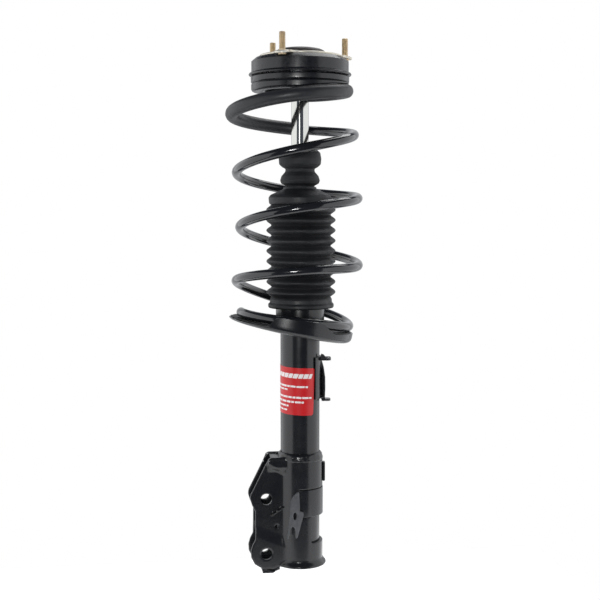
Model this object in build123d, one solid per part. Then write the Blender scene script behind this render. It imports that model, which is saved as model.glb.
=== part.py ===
from build123d import *
import math
import os

# A complete suspension strut: gas damper, knuckle bracket, coil spring, dust boot and top mount.
# Everything is drawn in millimetres, +Z up along the damper, with heights measured from the lowest
# point of the knuckle bracket. Each finished piece is then lowered by PLATE_TOP, so that the
# origin ends up at the centre of the three body studs, on the top face of the mount plate.

# ---------------------------------------------------------------- driving dimensions
PLATE_TOP = 655.0        # height of the mount plate's top face above the bracket's foot
SIDE_ANGLE = -8.0        # degrees round from +X to the side that carries the hose brackets

TUBE_R = 25.0            # outer radius of the strut tube
TUBE_WALL = 2.5
TUBE_BOTTOM = 8.0
TUBE_TOP = 440.0
PRESSURE_R = 17.5        # outer radius of the inner pressure tube
PRESSURE_BORE_R = 16.0
ROD_R = 11.0
ROD_SHOULDER = 628.0     # the rod steps down to its top thread here
ROD_THREAD_R = 7.0
ROD_TIP = 661.5
ROD_FOOT = 258.0         # the shoulder that the piston sits against

WIRE_R = 6.0             # coil spring wire
SLEEVE_R = 8.5           # outer radius of the sleeve on the top turn

SEAT_R = 80.2            # lower spring seat
SEAT_CENTRE_X = -14.2
SEAT_LIP = 13.0          # the raised lip at the front
SEAT_RIM_TILT = 8.0      # degrees, the -X side stands higher
SEAT_FLOOR_TILT = 12.0
SEAT_RIM_HEIGHT = 317.3  # height of the rim plane at the seat's centre

SHEET = 3.8              # pressed sheet of the knuckle bracket
EAR_FACE = 18.5          # outer face of each ear, either side of the middle plane
BOLT_X = -45.5
BOLT_UPPER_Z = 95.7
BOLT_LOWER_Z = 25.0
BOLT_R = 7.2
LOBE_R = 20.5

STUD_CIRCLE_R = 57.0
STUD_R = 4.0
STUD_PRESS_R = 4.4       # the stud's shoulder where it is pressed into the plate
STUD_STANDOUT = 22.0

BALL_COUNT = 28
BALL_R = 2.5
BALL_CIRCLE_R = 48.0
BALL_HEIGHT = 625.75

# Coil spring: (quarter turns from SIDE_ANGLE, distance of the wire from the rod's axis, height).
# The spring is bowed to one side at both ends, so the distance and the rise change round each turn.
SPRING_STATIONS = [
    (3.0, 62.0, 611.2), (2.0, 62.0, 611.2), (1.0, 61.0, 611.2), (0.0, 58.0, 610.6), (-1.0, 74.0, 600.8),
    (-2.0, 86.0, 582.0), (-3.0, 74.0, 568.2), (-4.0, 68.0, 556.9), (-5.0, 76.0, 536.0),
    (-6.0, 80.0, 508.8), (-7.0, 75.0, 486.8), (-8.0, 73.0, 477.6), (-9.0, 76.0, 464.5),
    (-10.0, 76.0, 440.0), (-11.0, 75.0, 411.5), (-12.0, 73.7, 393.5), (-13.0, 76.0, 389.3),
    (-14.0, 81.0, 372.2), (-15.0, 72.0, 335.5), (-16.0, 62.0, 315.8), (-17.0, 70.0, 327.0),
    (-18.0, 75.7, 334.5), (-19.0, 72.0, 329.0),
    (-20.0, 68.0, 323.0)]
STEPS_PER_QUARTER = 3
SPRING_FIRST = 3         # counted in thirds of a quarter turn, like the two below
SPRING_LAST = -54
SLEEVE_LAST = -9
SLEEVE_GAP = 0.1         # between the wire and its sleeve

os.makedirs("parts", exist_ok=True)


# ---------------------------------------------------------------- helpers
def turned(profile):
    """Solid of revolution about Z from a closed list of (radius, height) corners."""
    face = make_face(Plane.XZ * Polyline(*profile, close=True))
    return revolve(face, axis=Axis.Z)


def ring(r_out, r_in, z_low, z_high):
    """Plain ring, or a disc when r_in is zero."""
    return turned([(r_in, z_low), (r_out, z_low), (r_out, z_high), (r_in, z_high)])


def block(x_low, x_high, y_low, y_high, z_low, z_high):
    """Box between two corners."""
    size = (x_high - x_low, y_high - y_low, z_high - z_low)
    centre = ((x_low + x_high) / 2, (y_low + y_high) / 2, (z_low + z_high) / 2)
    return Pos(*centre) * Box(*size)


def at_angle(shape, degrees):
    """Turn a shape about the rod's axis."""
    return Rot(0, 0, degrees) * shape


def sector(r_out, r_in, z_low, z_high, start, end):
    """Part of a ring between two angles in degrees."""
    face = make_face(Plane.XZ * Polyline(
        (r_in, z_low), (r_out, z_low), (r_out, z_high), (r_in, z_high), close=True))
    return at_angle(revolve(face, axis=Axis.Z, revolution_arc=end - start), start)


def side_plate(outline, y_low, y_high):
    """Plate with its outline in the (X, Z) plane, between two Y values."""
    face = make_face(Plane.XZ * Polyline(*outline, close=True))
    return Pos(0, y_high, 0) * extrude(face, amount=y_high - y_low, dir=(0, -1, 0))


def cross_hole(x, z, radius, y_low=-60.0, y_high=60.0):
    """Round cutter along Y."""
    return Pos(x, (y_low + y_high) / 2, z) * Rot(90, 0, 0) * Cylinder(radius, y_high - y_low)


def curve_through(stations, q):
    """Smooth distance and height of the spring wire at q quarter turns."""
    for i in range(1, len(stations) - 2):
        q0 = stations[i][0]
        q1 = stations[i + 1][0]
        if q1 <= q <= q0:
            break
    t = (q - q0) / (q1 - q0)
    out = []
    for k in (1, 2):
        before = stations[i - 1][k]
        here = stations[i][k]
        there = stations[i + 1][k]
        after = stations[i + 2][k]
        slope_here = (there - before) / (stations[i + 1][0] - stations[i - 1][0]) * (q1 - q0)
        slope_there = (after - here) / (stations[i + 2][0] - stations[i][0]) * (q1 - q0)
        t2 = t * t
        t3 = t2 * t
        value = here * (2 * t3 - 3 * t2 + 1) + slope_here * (t3 - 2 * t2 + t)
        value = value + there * (3 * t2 - 2 * t3) + slope_there * (t3 - t2)
        out.append(value)
    return out


def wire_path(first, last):
    """Centre line of the wire: short straight runs joined by tangent arcs.

    first and last count thirds of a quarter turn. The path starts and ends half-way along a run,
    so that every stretch of it follows exactly the same line.
    """
    half_turn = math.radians(90.0 / STEPS_PER_QUARTER) / 2
    corner_scale = 1.0 / (1.0 - 0.9 * math.cos(half_turn) * (1 / math.cos(half_turn) - 1))
    corners = []
    for k in range(first, last - 1, -1):
        q = k / STEPS_PER_QUARTER
        radius, height = curve_through(SPRING_STATIONS, q)
        angle = math.radians(SIDE_ANGLE + 90.0 * q)
        across = radius * corner_scale
        corners.append(Vector(across * math.cos(angle), across * math.sin(angle), height))
    radii = []
    for before, here, after in zip(corners, corners[1:], corners[2:]):
        run_in = here - before
        run_out = after - here
        turn = math.radians(run_in.get_angle(run_out))
        shorter = min(run_in.length, run_out.length)
        radii.append(0.45 * shorter / math.tan(turn / 2))
    start = (corners[0] + corners[1]) * 0.5
    end = (corners[-2] + corners[-1]) * 0.5
    return FilletPolyline(start, *corners[1:-1], end, radius=radii)


def along_wire(path, radius):
    """Round bar that follows the wire's centre line."""
    disc = Plane(origin=path @ 0, z_dir=path % 0) * Circle(radius)
    return sweep(disc, path=path)


def hexagon_nut(across_flats, bore_r, z_low, z_high):
    """Plain hexagon nut."""
    flat = RegularPolygon(across_flats / 2, 6, major_radius=False)
    nut = Pos(0, 0, z_low) * extrude(flat, amount=z_high - z_low)
    return nut - ring(bore_r, 0, z_low - 1, z_high + 1)


def largest(shape):
    """The biggest solid of a shape."""
    return max(shape.solids(), key=lambda s: s.volume)


# ---------------------------------------------------------------- damper tube and knuckle bracket
def make_strut_tube():
    """Outer tube of the damper."""
    return ring(TUBE_R, TUBE_R - TUBE_WALL, TUBE_BOTTOM, TUBE_TOP)


def make_base_cap():
    """Dished cap that closes the tube at the bottom."""
    r = TUBE_R - TUBE_WALL
    return turned([(0, 17), (r - 6, 14), (r - 3, 8), (r, 8), (r, 14), (r - 3, 18), (0, 21)])


def make_knuckle_bracket():
    """Pressed bracket: a collar round the tube and two ears that hold the steering knuckle."""
    inner_face = EAR_FACE - SHEET
    collar_r = TUBE_R + 4.0
    plan = Circle(collar_r) + Pos(-36, 0) * Rectangle(72, 2 * EAR_FACE)
    corners = [v for v in plan.vertices() if abs(abs(v.Y) - EAR_FACE) < 0.1 and v.X > -30]
    plan = fillet(corners, 14.0)
    plan = plan - Circle(TUBE_R)
    plan = plan - Pos(-60, 0) * Rectangle(80, 2 * inner_face)
    body = extrude(plan, amount=175.0)
    ear_outline = [
        (60, 8), (-30, 8), (-36, 5.0), (-50, 5.6), (-60.5, 12), (-65.2, 21), (-65.6, 29),
        (-63.5, 37), (-59.8, 44), (-59.5, 80), (-63.5, 88), (-66.0, 96), (-65.4, 102),
        (-42.5, 147.9), (-39, 149.9), (-14, 149.9), (10, 145), (60, 141)]
    body = body & side_plate(ear_outline, -60, 60)
    for z in (BOLT_UPPER_Z, BOLT_LOWER_Z):
        body = body - cross_hole(BOLT_X, z, BOLT_R)
    body = body - cross_hole(-32, 60, 2.5)
    window_low = sector(60, 5, 39, 74, -67, 67)
    window_high = sector(60, 5, 73, 109, -101, 67)
    body = body - window_low - window_high
    top_band = [(EAR_FACE - 1.0, 129), (21.5, 137), (21.5, 146), (19.5, 151.5), (EAR_FACE - 1.0, 151.5)]
    band_face = make_face(Plane.YZ * Polyline(*top_band, close=True))
    band = Pos(-43, 0, 0) * extrude(band_face, amount=30, dir=(1, 0, 0))
    for side in (1, -1):
        piece = band if side == 1 else mirror(band, about=Plane.XZ)
        piece = piece & side_plate(ear_outline, -60, 60)
        body = body + (piece - ring(TUBE_R, 0, 0, 200))
    foot_lip = turned([(TUBE_R + 3, 8.0), (33.5, 8.0), (33.5, 10.0), (TUBE_R + 3.9, 15.5)])
    lip_zone = block(-28, 60, -60, 60, 0, 30) - block(-60, -16, -inner_face, inner_face, 0, 30)
    body = body + (foot_lip & lip_zone)
    return largest(body)


def make_bracket_weld(bracket, reinforcement):
    """Weld bead that joins the top of the bracket's collar to the tube."""
    bead = turned([
        (TUBE_R, 137), (TUBE_R + 3.6, 137), (TUBE_R + 4.2, 145), (TUBE_R + 4.0, 148), (TUBE_R + 2.4, 152.5),
        (TUBE_R, 155)])
    return largest(bead - bracket - reinforcement)


def make_bracket_reinforcement():
    """Inner channel between the ears, in front of the tube, with a turned-out foot."""
    half = EAR_FACE - SHEET
    web = block(-31.0, -27.8, -half, half, 6, 148)
    top_flange = block(-39.0, -31.0, -half, half, 145.4, 148.4)
    foot_outline = [(-27.8, 3.0), (-27.8, 6.5), (-31.0, 6.5), (-50.2, 3.4), (-50.7, 0.0), (-37, 0.0)]
    foot = side_plate(foot_outline, -half, half)
    foot_lip = side_plate([(-33.5, 2.4), (-37, 0.0), (-50.7, 0.0), (-51.0, 2.4), (-50.2, 3.4), (-39, 4.0)],
                          -EAR_FACE - 0.5, EAR_FACE + 0.5)
    ties = block(-27.8, -23.0, -9.5, 9.5, 14, 20) + block(-27.8, -23.0, -9.5, 9.5, 134, 140)
    ties = ties - ring(TUBE_R, 0, 0, 200)
    return largest(web + top_flange + foot + foot_lip + ties)


def make_locating_tab():
    """Small bar on the collar that sets the bracket's height in the welding jig."""
    bar = block(TUBE_R + 3.6, TUBE_R + 7.2, -4, 4, 115, 140)
    bar = fillet(bar.edges().filter_by(Axis.Y), 1.6)
    bar = bar - ring(TUBE_R + 4.0, 0, 100, 150)
    return at_angle(bar, SIDE_ANGLE)


def make_hose_bracket_upper():
    """Brake hose bracket welded to the tube: saddle, standing strap and two tabs."""
    saddle = sector(TUBE_R + 2.5, TUBE_R, 223, 277, -52, 14)
    strap_line = [(27.0, 222), (31.8, 222), (32.4, 236), (32.2, 250), (30.5, 262), (27.0, 274.5),
                  (27.0, 266), (28.5, 260), (29.8, 249), (29.9, 238), (29.4, 225), (27.0, 225)]
    strap = side_plate(strap_line, -7, 7)
    web = side_plate([(26.0, 224), (30.6, 224), (31.0, 236), (30.9, 250), (29.6, 261), (27.0, 270), (26.0, 270)], 1.0, 3.0)
    tab_low = block(27.5, 39.0, -7, 7, 219.5, 222)
    tab_low = fillet(tab_low.edges().filter_by(Axis.Z).sort_by(Axis.X)[-2:], 4.0)
    tab_high = block(26.5, 39.5, -11, 11, 272.0, 275.0)
    tab_high = fillet(tab_high.edges().filter_by(Axis.Z).sort_by(Axis.X)[-2:], 5.0)
    slot = block(31.0, 45.0, -3.6, 3.6, 264, 284) + Pos(31.0, 0, 274) * Cylinder(3.6, 20)
    tab_high = tab_high - slot
    rib = side_plate([(26.5, 274.9), (34, 274.9), (30, 280.0), (26.5, 281.0)], -11, -8.6)
    bracket = strap + web + tab_low + tab_high + rib
    bracket = bracket - ring(TUBE_R, 0, 200, 300)
    return largest(at_angle(bracket, SIDE_ANGLE) + saddle)


def make_hose_bracket_lower():
    """Sensor lead bracket: a strap let into the collar and a flat forked tongue."""
    strap = sector(TUBE_R + 4.4, TUBE_R + 0.4, 73.5, 108.5, -100, 16)
    outline = [(-3.9, 82.4), (-4.6, 107.0), (-6.0, 107.6), (-12.4, 102.6), (-14.9, 99.2), (-16.0, 96.0),
               (-17.4, 74.6), (-20.7, 49.6), (-20.3, 48.8), (-19.3, 48.8), (-17.2, 60.5), (-15.2, 63.2),
               (-12.2, 63.2), (-10.4, 60.5), (-9.6, 49.0), (-9.0, 48.4), (-8.2, 49.0), (0.9, 78.0), (0.9, 80.2)]
    tongue = side_plate(outline, -31.9, -29.1)
    tongue = tongue - (Pos(-10.9, -30, 76.8) * Rot(90, 0, 0) * extrude(Ellipse(2.8, 5.3), amount=20, both=True))
    joggle = block(-4.6, 0.6, -31.9, -27.0, 83, 106)
    return largest(strap + tongue + joggle)


def make_label():
    """Printed label on the tube."""
    return sector(TUBE_R + 0.35, TUBE_R, 205, 266, -207, -52)


# ---------------------------------------------------------------- lower spring seat
def seat_plane(height, tilt):
    """Frame with its origin at the seat's centre and +Z leaning by the tilt."""
    return Plane(Location((SEAT_CENTRE_X, 0, height), (0, tilt, 0)))


def bowl(radius, corner_r, height, tilt, depth):
    """Round-cornered plug whose flat bottom lies in the tilted plane."""
    plug = Cylinder(radius, depth, align=(Align.CENTER, Align.CENTER, Align.MIN))
    plug = fillet(plug.edges().sort_by(Axis.Z)[0], corner_r)
    return seat_plane(height, tilt) * plug


def make_spring_seat_lower():
    """Pressed bowl that carries the spring, deeper on the +X side, with a raised lip at the front."""
    floor_height = SEAT_RIM_HEIGHT - 7.6
    outer = bowl(SEAT_R, 7.0, floor_height, SEAT_FLOOR_TILT, 60.0)
    inner = bowl(SEAT_R - 2.5, 4.5, floor_height + 2.5, SEAT_FLOOR_TILT, 60.0)
    pan = outer - inner
    above = seat_plane(SEAT_RIM_HEIGHT, SEAT_RIM_TILT) * Cylinder(
        120, 100, align=(Align.CENTER, Align.CENTER, Align.MIN))
    above_lip = seat_plane(SEAT_RIM_HEIGHT + SEAT_LIP, SEAT_RIM_TILT) * Cylinder(
        120, 100, align=(Align.CENTER, Align.CENTER, Align.MIN))
    lip_zone = block(-48, 24, -120, 0, 200, 500)
    lip = (pan & lip_zone) - above_lip
    pan = (pan - above) + lip
    boss = ring(TUBE_R + 3.0, TUBE_R, 302, 324)
    pan = pan + boss
    pan = pan - ring(TUBE_R, 0, 200, 500)
    return largest(pan)


def make_seat_collar():
    """Short collar above the seat that the dust boot fits over."""
    collar = ring(30.8, TUBE_R + 3.0, 300, 350) + ring(30.8, TUBE_R, 324.0, 350)
    below = bowl(SEAT_R - 2.5, 4.5, SEAT_RIM_HEIGHT - 7.6 + 2.5, SEAT_FLOOR_TILT, 60.0)
    return largest(collar & below)


def make_spring_pad_lower():
    """Rubber wedge between the seat and the spring's last turn."""
    floor_height = SEAT_RIM_HEIGHT - 7.6 + 2.5
    plug = bowl(SEAT_R - 2.5, 4.5, floor_height, SEAT_FLOOR_TILT, 60.0)
    top = seat_plane(SEAT_RIM_HEIGHT + 1.9, SEAT_RIM_TILT) * Cylinder(
        120, 100, align=(Align.CENTER, Align.CENTER, Align.MIN))
    pad = plug - top
    hole = Pos(SEAT_CENTRE_X, 0, 0) * ring(50, 0, 200, 500)
    pad = pad - hole
    pad = pad - along_wire(wire_path(-44, SPRING_LAST - 1), WIRE_R + 0.02)
    return largest(pad)


# ---------------------------------------------------------------- spring
def make_coil_spring():
    """Coil spring."""
    path = wire_path(SPRING_FIRST, SPRING_LAST)
    spring = along_wire(path, WIRE_R)
    print("spring volume", spring.volume, "section times length", math.pi * WIRE_R ** 2 * path.length)
    return spring


def make_spring_sleeve():
    """Quiet sleeve round the top turn of the spring."""
    path = wire_path(SPRING_FIRST, SLEEVE_LAST)
    return along_wire(path, SLEEVE_R), along_wire(path, WIRE_R + SLEEVE_GAP)


# ---------------------------------------------------------------- inside the damper
def make_pressure_tube():
    """Inner tube that the piston runs in."""
    return ring(PRESSURE_R, PRESSURE_BORE_R, 42, 425)


def make_base_valve():
    """Valve body at the foot of the pressure tube."""
    body = turned([
        (3.0, 34), (10.5, 34), (10.5, 30), (14.5, 30), (14.5, 21.5), (19.5, 21.5), (19.5, 42), (PRESSURE_BORE_R, 42),
        (PRESSURE_BORE_R, 46), (12.5, 46), (12.5, 48), (3.0, 48)])
    for k in range(8):
        body = body - at_angle(Pos(7.5, 0, 40) * Cylinder(1.5, 30), 45 * k)
    for k in range(4):
        body = body - at_angle(block(12, 30, -4, 4, 20, 27), 90 * k + 22.5)
    return largest(body)


def make_base_valve_discs():
    """Stack of thin valve discs."""
    return ring(10.5, 3.0, 48, 48.9)


def make_base_valve_rivet():
    """Rivet that holds the discs on the valve."""
    return turned([(0, 32), (6, 32), (6, 34), (3.0, 34), (3.0, 48.9), (6, 48.9), (5, 52), (0, 52)])


def make_rod_guide():
    """Guide that closes the pressure tube and centres the rod."""
    r = TUBE_R - TUBE_WALL
    return turned([
        (12.6, 410), (PRESSURE_BORE_R, 410), (PRESSURE_BORE_R, 425), (r, 425), (r, 432), (12.6, 432)])


def make_guide_bush():
    """Thin bearing bush that the rod slides in."""
    return ring(12.6, ROD_R + 0.05, 411, 431)


def make_rod_seal():
    """Oil and gas seal on top of the guide."""
    r = TUBE_R - TUBE_WALL
    return turned([
        (12.4, 432), (r, 432), (r, 439.5), (16, 439.5), (13.0, 439.5), (ROD_R + 0.06, 438.8), (ROD_R + 0.06, 437.6),
        (12.4, 436.0)])


def make_tube_top_cap():
    """Striker cap pressed on the tube's top, which the bump stop meets."""
    cap = turned([
        (TUBE_R, 426), (TUBE_R + 2.2, 426), (TUBE_R + 2.2, 443), (TUBE_R - 0.5, 445), (13.5, 445), (13.5, 440),
        (TUBE_R, 440)])
    return cap


def make_piston_rod():
    """Chromed rod with a threaded end at each end."""
    rod = turned([
        (0, 243), (4.2, 243), (5.0, 244), (5.0, ROD_FOOT), (ROD_R - 1.0, ROD_FOOT), (ROD_R, ROD_FOOT + 1.0),
        (ROD_R, ROD_SHOULDER - 1.0), (ROD_R - 1.0, ROD_SHOULDER), (ROD_THREAD_R, ROD_SHOULDER),
        (ROD_THREAD_R, ROD_TIP - 1), (ROD_THREAD_R - 1, ROD_TIP), (0, ROD_TIP)])
    return rod


def make_rebound_collar():
    """Steel collar fixed to the rod under the rebound bumper."""
    return ring(15.2, ROD_R, 388, 392)


def make_rebound_bumper():
    """Plastic bumper that stops the rod at full extension."""
    return turned([(ROD_R, 392), (14.6, 392), (15.0, 396), (14.0, 400), (15.0, 404), (14.6, 409.6), (ROD_R, 409.6)])


def make_piston():
    """Damper piston."""
    piston = turned([
        (5.0, 248.5), (15.6, 248.5), (15.6, 250.4), (15.0, 250.4), (15.0, 255.6), (15.6, 255.6), (15.6, 257.2),
        (5.0, 257.2)])
    for k in range(6):
        piston = piston - at_angle(Pos(9.5, 0, 253) * Cylinder(1.6, 30), 60 * k)
    return piston


def make_piston_band():
    """Low-friction band round the piston."""
    return ring(PRESSURE_BORE_R - 0.05, 15.0, 250.4, 255.6)


def make_piston_shims():
    """Spring-steel shims above and below the piston."""
    upper = ring(13.2, 5.0, 257.2, 258.0)
    lower = ring(13.2, 5.0, 247.7, 248.5)
    return Compound(children=[upper, lower])


def make_piston_nut():
    """Nut on the rod's foot."""
    return hexagon_nut(17.0, 5.0, 243.6, 247.7)


# ---------------------------------------------------------------- bump stop and boot
def make_bump_stop():
    """Foam bump stop on the rod, resting on the tube's cap."""
    inner = ROD_R + 0.35
    profile = [
        (inner, 445.4), (22.0, 445.4), (24.0, 449), (24.0, 458), (19.0, 464), (19.0, 470), (23.0, 476), (18.4, 488),
        (18.3, 492), (20.2, 493.6), (23.6, 496.2), (24.7, 500), (23.6, 504.5), (19.6, 509.5), (18.4, 513),
        (19.4, 515.6), (24.0, 518.4), (26.2, 521.6), (26.6, 526), (26.2, 530), (24.2, 534.6), (22.0, 537.4),
        (19.0, 538), (inner, 538)]
    return turned(profile)


def make_dust_boot():
    """Rubber boot with nine folds that hangs from the bump stop over the tube."""
    outer = [(34.6, 339.0), (40.2, 339.0), (41.0, 340.6), (41.0, 343.6), (38.7, 345.5), (38.7, 352.4)]
    for k in range(9):
        peak = 358.6 + 13.0 * k
        outer.append((36.6, peak - 5.6))
        outer.append((43.4, peak - 1.4))
        outer.append((44.2, peak))
        outer.append((43.4, peak + 1.4))
    outer.append((36.8, 468.2))
    outer.append((39.9, 470.4))
    outer.append((40.0, 478.6))
    outer.append((37.6, 481.2))
    outer.append((26.0, 486.6))
    outer.append((20.6, 491.6))
    inner = [(18.45, 491.6), (18.55, 488.4), (24.6, 484.6), (35.8, 479.4), (37.6, 477.4), (37.6, 471.8), (34.4, 468.4)]
    for k in range(8, -1, -1):
        peak = 358.6 + 13.0 * k
        inner.append((41.6, peak + 0.5))
        inner.append((41.6, peak - 0.5))
        inner.append((34.3, peak - 5.8))
    inner.append((36.4, 351.0))
    inner.append((36.4, 344.0))
    return turned(outer + inner)


# ---------------------------------------------------------------- upper spring seat and bearing
def make_spring_seat_upper():
    """Upper spring seat: disc, outer skirt and the pilot that centres the spring."""
    seat = turned([
        (16.0, 620.2), (44.4, 620.2), (44.4, 610.9), (45.0, 610.3), (46.5, 610.3), (47.0, 610.9), (47.0, 620.2),
        (60.9, 620.2), (61.5, 621.0), (61.5, 628.2), (60.7, 629.0), (59.4, 629.0), (59.0, 628.4), (59.0, 622.4),
        (16.0, 622.4)])
    return seat


def make_spring_pad_upper():
    """Rubber insulator between the seat and the sleeve, with a groove for the spring's end."""
    pad = turned([(47.0, 612.5), (54.0, 610.0), (59.6, 610.0), (61.0, 611.4), (61.0, 619.4), (60.4, 620.2), (47.0, 620.2)])
    path = wire_path(5, -6)
    pad = pad - along_wire(path, SLEEVE_R + 0.35)
    panel = block(54.5, 70, -15.5, 15.5, 611.6, 618.8)
    panel = panel - ring(60.2, 0, 600, 630)
    pad = pad - at_angle(panel, -67)
    return largest(pad)


def make_bearing_lower_race():
    """Lower race of the strut's top bearing."""
    race = ring(53.5, 42.5, 622.4, 624.5)
    groove = Pos(0, 0, BALL_HEIGHT) * Torus(BALL_CIRCLE_R, BALL_R + 0.08)
    return race - groove


def make_bearing_upper_race():
    """Upper race, pressed up against the mount."""
    race = ring(53.5, 42.5, 627.0, 630.0)
    groove = Pos(0, 0, BALL_HEIGHT) * Torus(BALL_CIRCLE_R, BALL_R + 0.08)
    return race - groove


def make_bearing_seal():
    """Rubber lip that keeps dirt out of the bearing."""
    return turned([(54.6, 622.4), (57.6, 622.4), (57.6, 625), (56.6, 629.4), (55.4, 629.4), (54.6, 625)])


def make_bearing_balls():
    """Ring of bearing balls."""
    balls = []
    for k in range(BALL_COUNT):
        balls.append(at_angle(Pos(BALL_CIRCLE_R, 0, BALL_HEIGHT) * Sphere(BALL_R), 360 * k / BALL_COUNT))
    return Compound(children=balls)


def make_bearing_cage():
    """Cage that keeps the balls apart."""
    cage = ring(51.0, 45.0, BALL_HEIGHT - 0.85, BALL_HEIGHT + 0.85)
    for k in range(BALL_COUNT):
        cage = cage - at_angle(Pos(BALL_CIRCLE_R, 0, BALL_HEIGHT) * Sphere(BALL_R + 0.06), 360 * k / BALL_COUNT)
    return cage


# ---------------------------------------------------------------- top mount
def make_mount_plate():
    """Three-cornered plate that bolts under the car body."""
    corners = []
    for k in range(3):
        angle = math.radians(120 * k)
        corners.append((STUD_CIRCLE_R * math.cos(angle), STUD_CIRCLE_R * math.sin(angle)))
    outline = Circle(51.0)
    for k in range(3):
        first = corners[k]
        second = corners[(k + 1) % 3]
        middle = ((first[0] + second[0]) / 2, (first[1] + second[1]) / 2)
        length = math.dist(first, second)
        turn = math.degrees(math.atan2(second[1] - first[1], second[0] - first[0]))
        outline = outline + Pos(*middle) * Rot(0, 0, turn) * Rectangle(length, 18)
        outline = outline + Pos(*first) * Circle(9.0)
    inside = [v for v in outline.vertices() if abs(math.hypot(v.X, v.Y) - 51.0) < 1.0]
    outline = fillet(inside, 12.0)
    plate = Pos(0, 0, PLATE_TOP - 3.0) * extrude(outline, amount=3.0)
    plate = plate - ring(29.0, 0, 600, 700)
    for corner in corners:
        plate = plate - Pos(corner[0], corner[1], PLATE_TOP) * Cylinder(STUD_PRESS_R, 20)
    return plate


def make_mount_studs():
    """Three body studs, each with its flat head under the plate and a threaded shank."""
    studs = []
    for k in range(3):
        angle = math.radians(120 * k)
        x = STUD_CIRCLE_R * math.cos(angle)
        y = STUD_CIRCLE_R * math.sin(angle)
        top = PLATE_TOP + STUD_STANDOUT
        stud = turned([
            (0, PLATE_TOP - 5.4), (5.0, PLATE_TOP - 5.4), (5.0, PLATE_TOP - 3.0), (STUD_PRESS_R, PLATE_TOP - 3.0),
            (STUD_PRESS_R, PLATE_TOP), (STUD_R, PLATE_TOP),
            (STUD_R, top - 0.8), (STUD_R - 0.8, top), (0, top)])
        studs.append(Pos(x, y, 0) * stud)
    return Compound(children=studs)


def make_mount_shell():
    """Black pressed shell of the mount, with a flange round its foot."""
    shell = turned([
        (57.0, 630.0), (63.9, 629.5), (64.5, 630.1), (64.5, 632.0), (63.9, 632.6), (61.0, 633.2), (61.0, 644.5),
        (59.6, 647.5), (56.0, 651.0), (53.5, 652.0), (29.0, 652.0), (29.0, 649.6), (52.6, 649.6), (56.5, 647.0),
        (58.6, 643.5), (58.6, 632.8), (57.0, 632.0)])
    for k in range(3):
        angle = math.radians(120 * k)
        hole = Pos(STUD_CIRCLE_R * math.cos(angle), STUD_CIRCLE_R * math.sin(angle), 650) * Cylinder(5.0, 12)
        shell = shell - hole
    return largest(shell)


def make_mount_rubber():
    """Bonded rubber of the mount."""
    rubber = turned([
        (14.0, 633), (20.0, 633), (24.0, 631.5), (36.0, 631.5), (40.0, 630.0), (57.0, 630.0), (57.0, 632.0),
        (58.6, 632.8), (58.6, 643.5), (56.5, 645.0), (51.0, 645.0), (48.0, 649.6), (29.0, 649.6), (24.5, 646),
        (14.0, 646)])
    core = turned([(13.9, 632), (14.0, 632), (14.0, 637.5), (33.0, 637.5), (33.0, 640.5), (14.0, 640.5), (14.0, 647), (13.9, 647)])
    return rubber - core


def make_mount_core():
    """Steel core that the rod clamps to, bonded inside the rubber."""
    return turned([
        (ROD_THREAD_R, ROD_SHOULDER), (14.0, ROD_SHOULDER), (14.0, 637.5), (33.0, 637.5), (33.0, 640.5), (14.0, 640.5),
        (14.0, 648.0), (ROD_THREAD_R, 648.0)])


def make_rod_washer():
    """Washer under the rod's nut."""
    return ring(17.0, ROD_THREAD_R, 648.0, 650.5)


def make_rod_nut():
    """Nut on the rod's top thread."""
    return hexagon_nut(21.0, ROD_THREAD_R, 650.5, 660.0)


def make_dust_cap():
    """Low domed cap that keeps water off the rod nut."""
    return turned([
        (29.0, 655.0), (33.0, 655.0), (32.6, 657.0), (30.6, 660.0), (27.0, 662.6), (22.0, 664.4), (17.0, 665.0),
        (0, 665.2), (0, 663.2), (16.5, 663.0), (21.5, 662.4), (25.6, 660.8), (28.4, 658.4)])


# ---------------------------------------------------------------- build and save
pieces = {}
pieces["strut_tube"] = make_strut_tube()
pieces["base_cap"] = make_base_cap()
pieces["knuckle_bracket"] = make_knuckle_bracket()
pieces["bracket_reinforcement"] = make_bracket_reinforcement()
pieces["bracket_weld"] = make_bracket_weld(pieces["knuckle_bracket"], pieces["bracket_reinforcement"])
pieces["locating_tab"] = make_locating_tab()
pieces["hose_bracket_upper"] = make_hose_bracket_upper()
pieces["hose_bracket_lower"] = make_hose_bracket_lower()
pieces["label"] = make_label()
pieces["spring_seat_lower"] = make_spring_seat_lower()
pieces["seat_collar"] = make_seat_collar()
pieces["spring_pad_lower"] = make_spring_pad_lower()
pieces["coil_spring"] = make_coil_spring()
sleeve_outer, sleeve_core = make_spring_sleeve()
pieces["spring_sleeve"] = sleeve_outer - sleeve_core
pieces["pressure_tube"] = make_pressure_tube()
pieces["base_valve"] = make_base_valve()
pieces["base_valve_discs"] = make_base_valve_discs()
pieces["base_valve_rivet"] = make_base_valve_rivet()
pieces["rod_guide"] = make_rod_guide()
pieces["guide_bush"] = make_guide_bush()
pieces["rod_seal"] = make_rod_seal()
pieces["tube_top_cap"] = make_tube_top_cap()
pieces["piston_rod"] = make_piston_rod()
pieces["rebound_collar"] = make_rebound_collar()
pieces["rebound_bumper"] = make_rebound_bumper()
pieces["piston"] = make_piston()
pieces["piston_band"] = make_piston_band()
pieces["piston_shims"] = make_piston_shims()
pieces["piston_nut"] = make_piston_nut()
pieces["bump_stop"] = make_bump_stop()
pieces["dust_boot"] = make_dust_boot()
pieces["spring_seat_upper"] = make_spring_seat_upper()
pieces["spring_pad_upper"] = make_spring_pad_upper()
pieces["bearing_lower_race"] = make_bearing_lower_race()
pieces["bearing_upper_race"] = make_bearing_upper_race()
pieces["bearing_seal"] = make_bearing_seal()
pieces["bearing_balls"] = make_bearing_balls()
pieces["bearing_cage"] = make_bearing_cage()
pieces["mount_plate"] = make_mount_plate()
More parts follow.
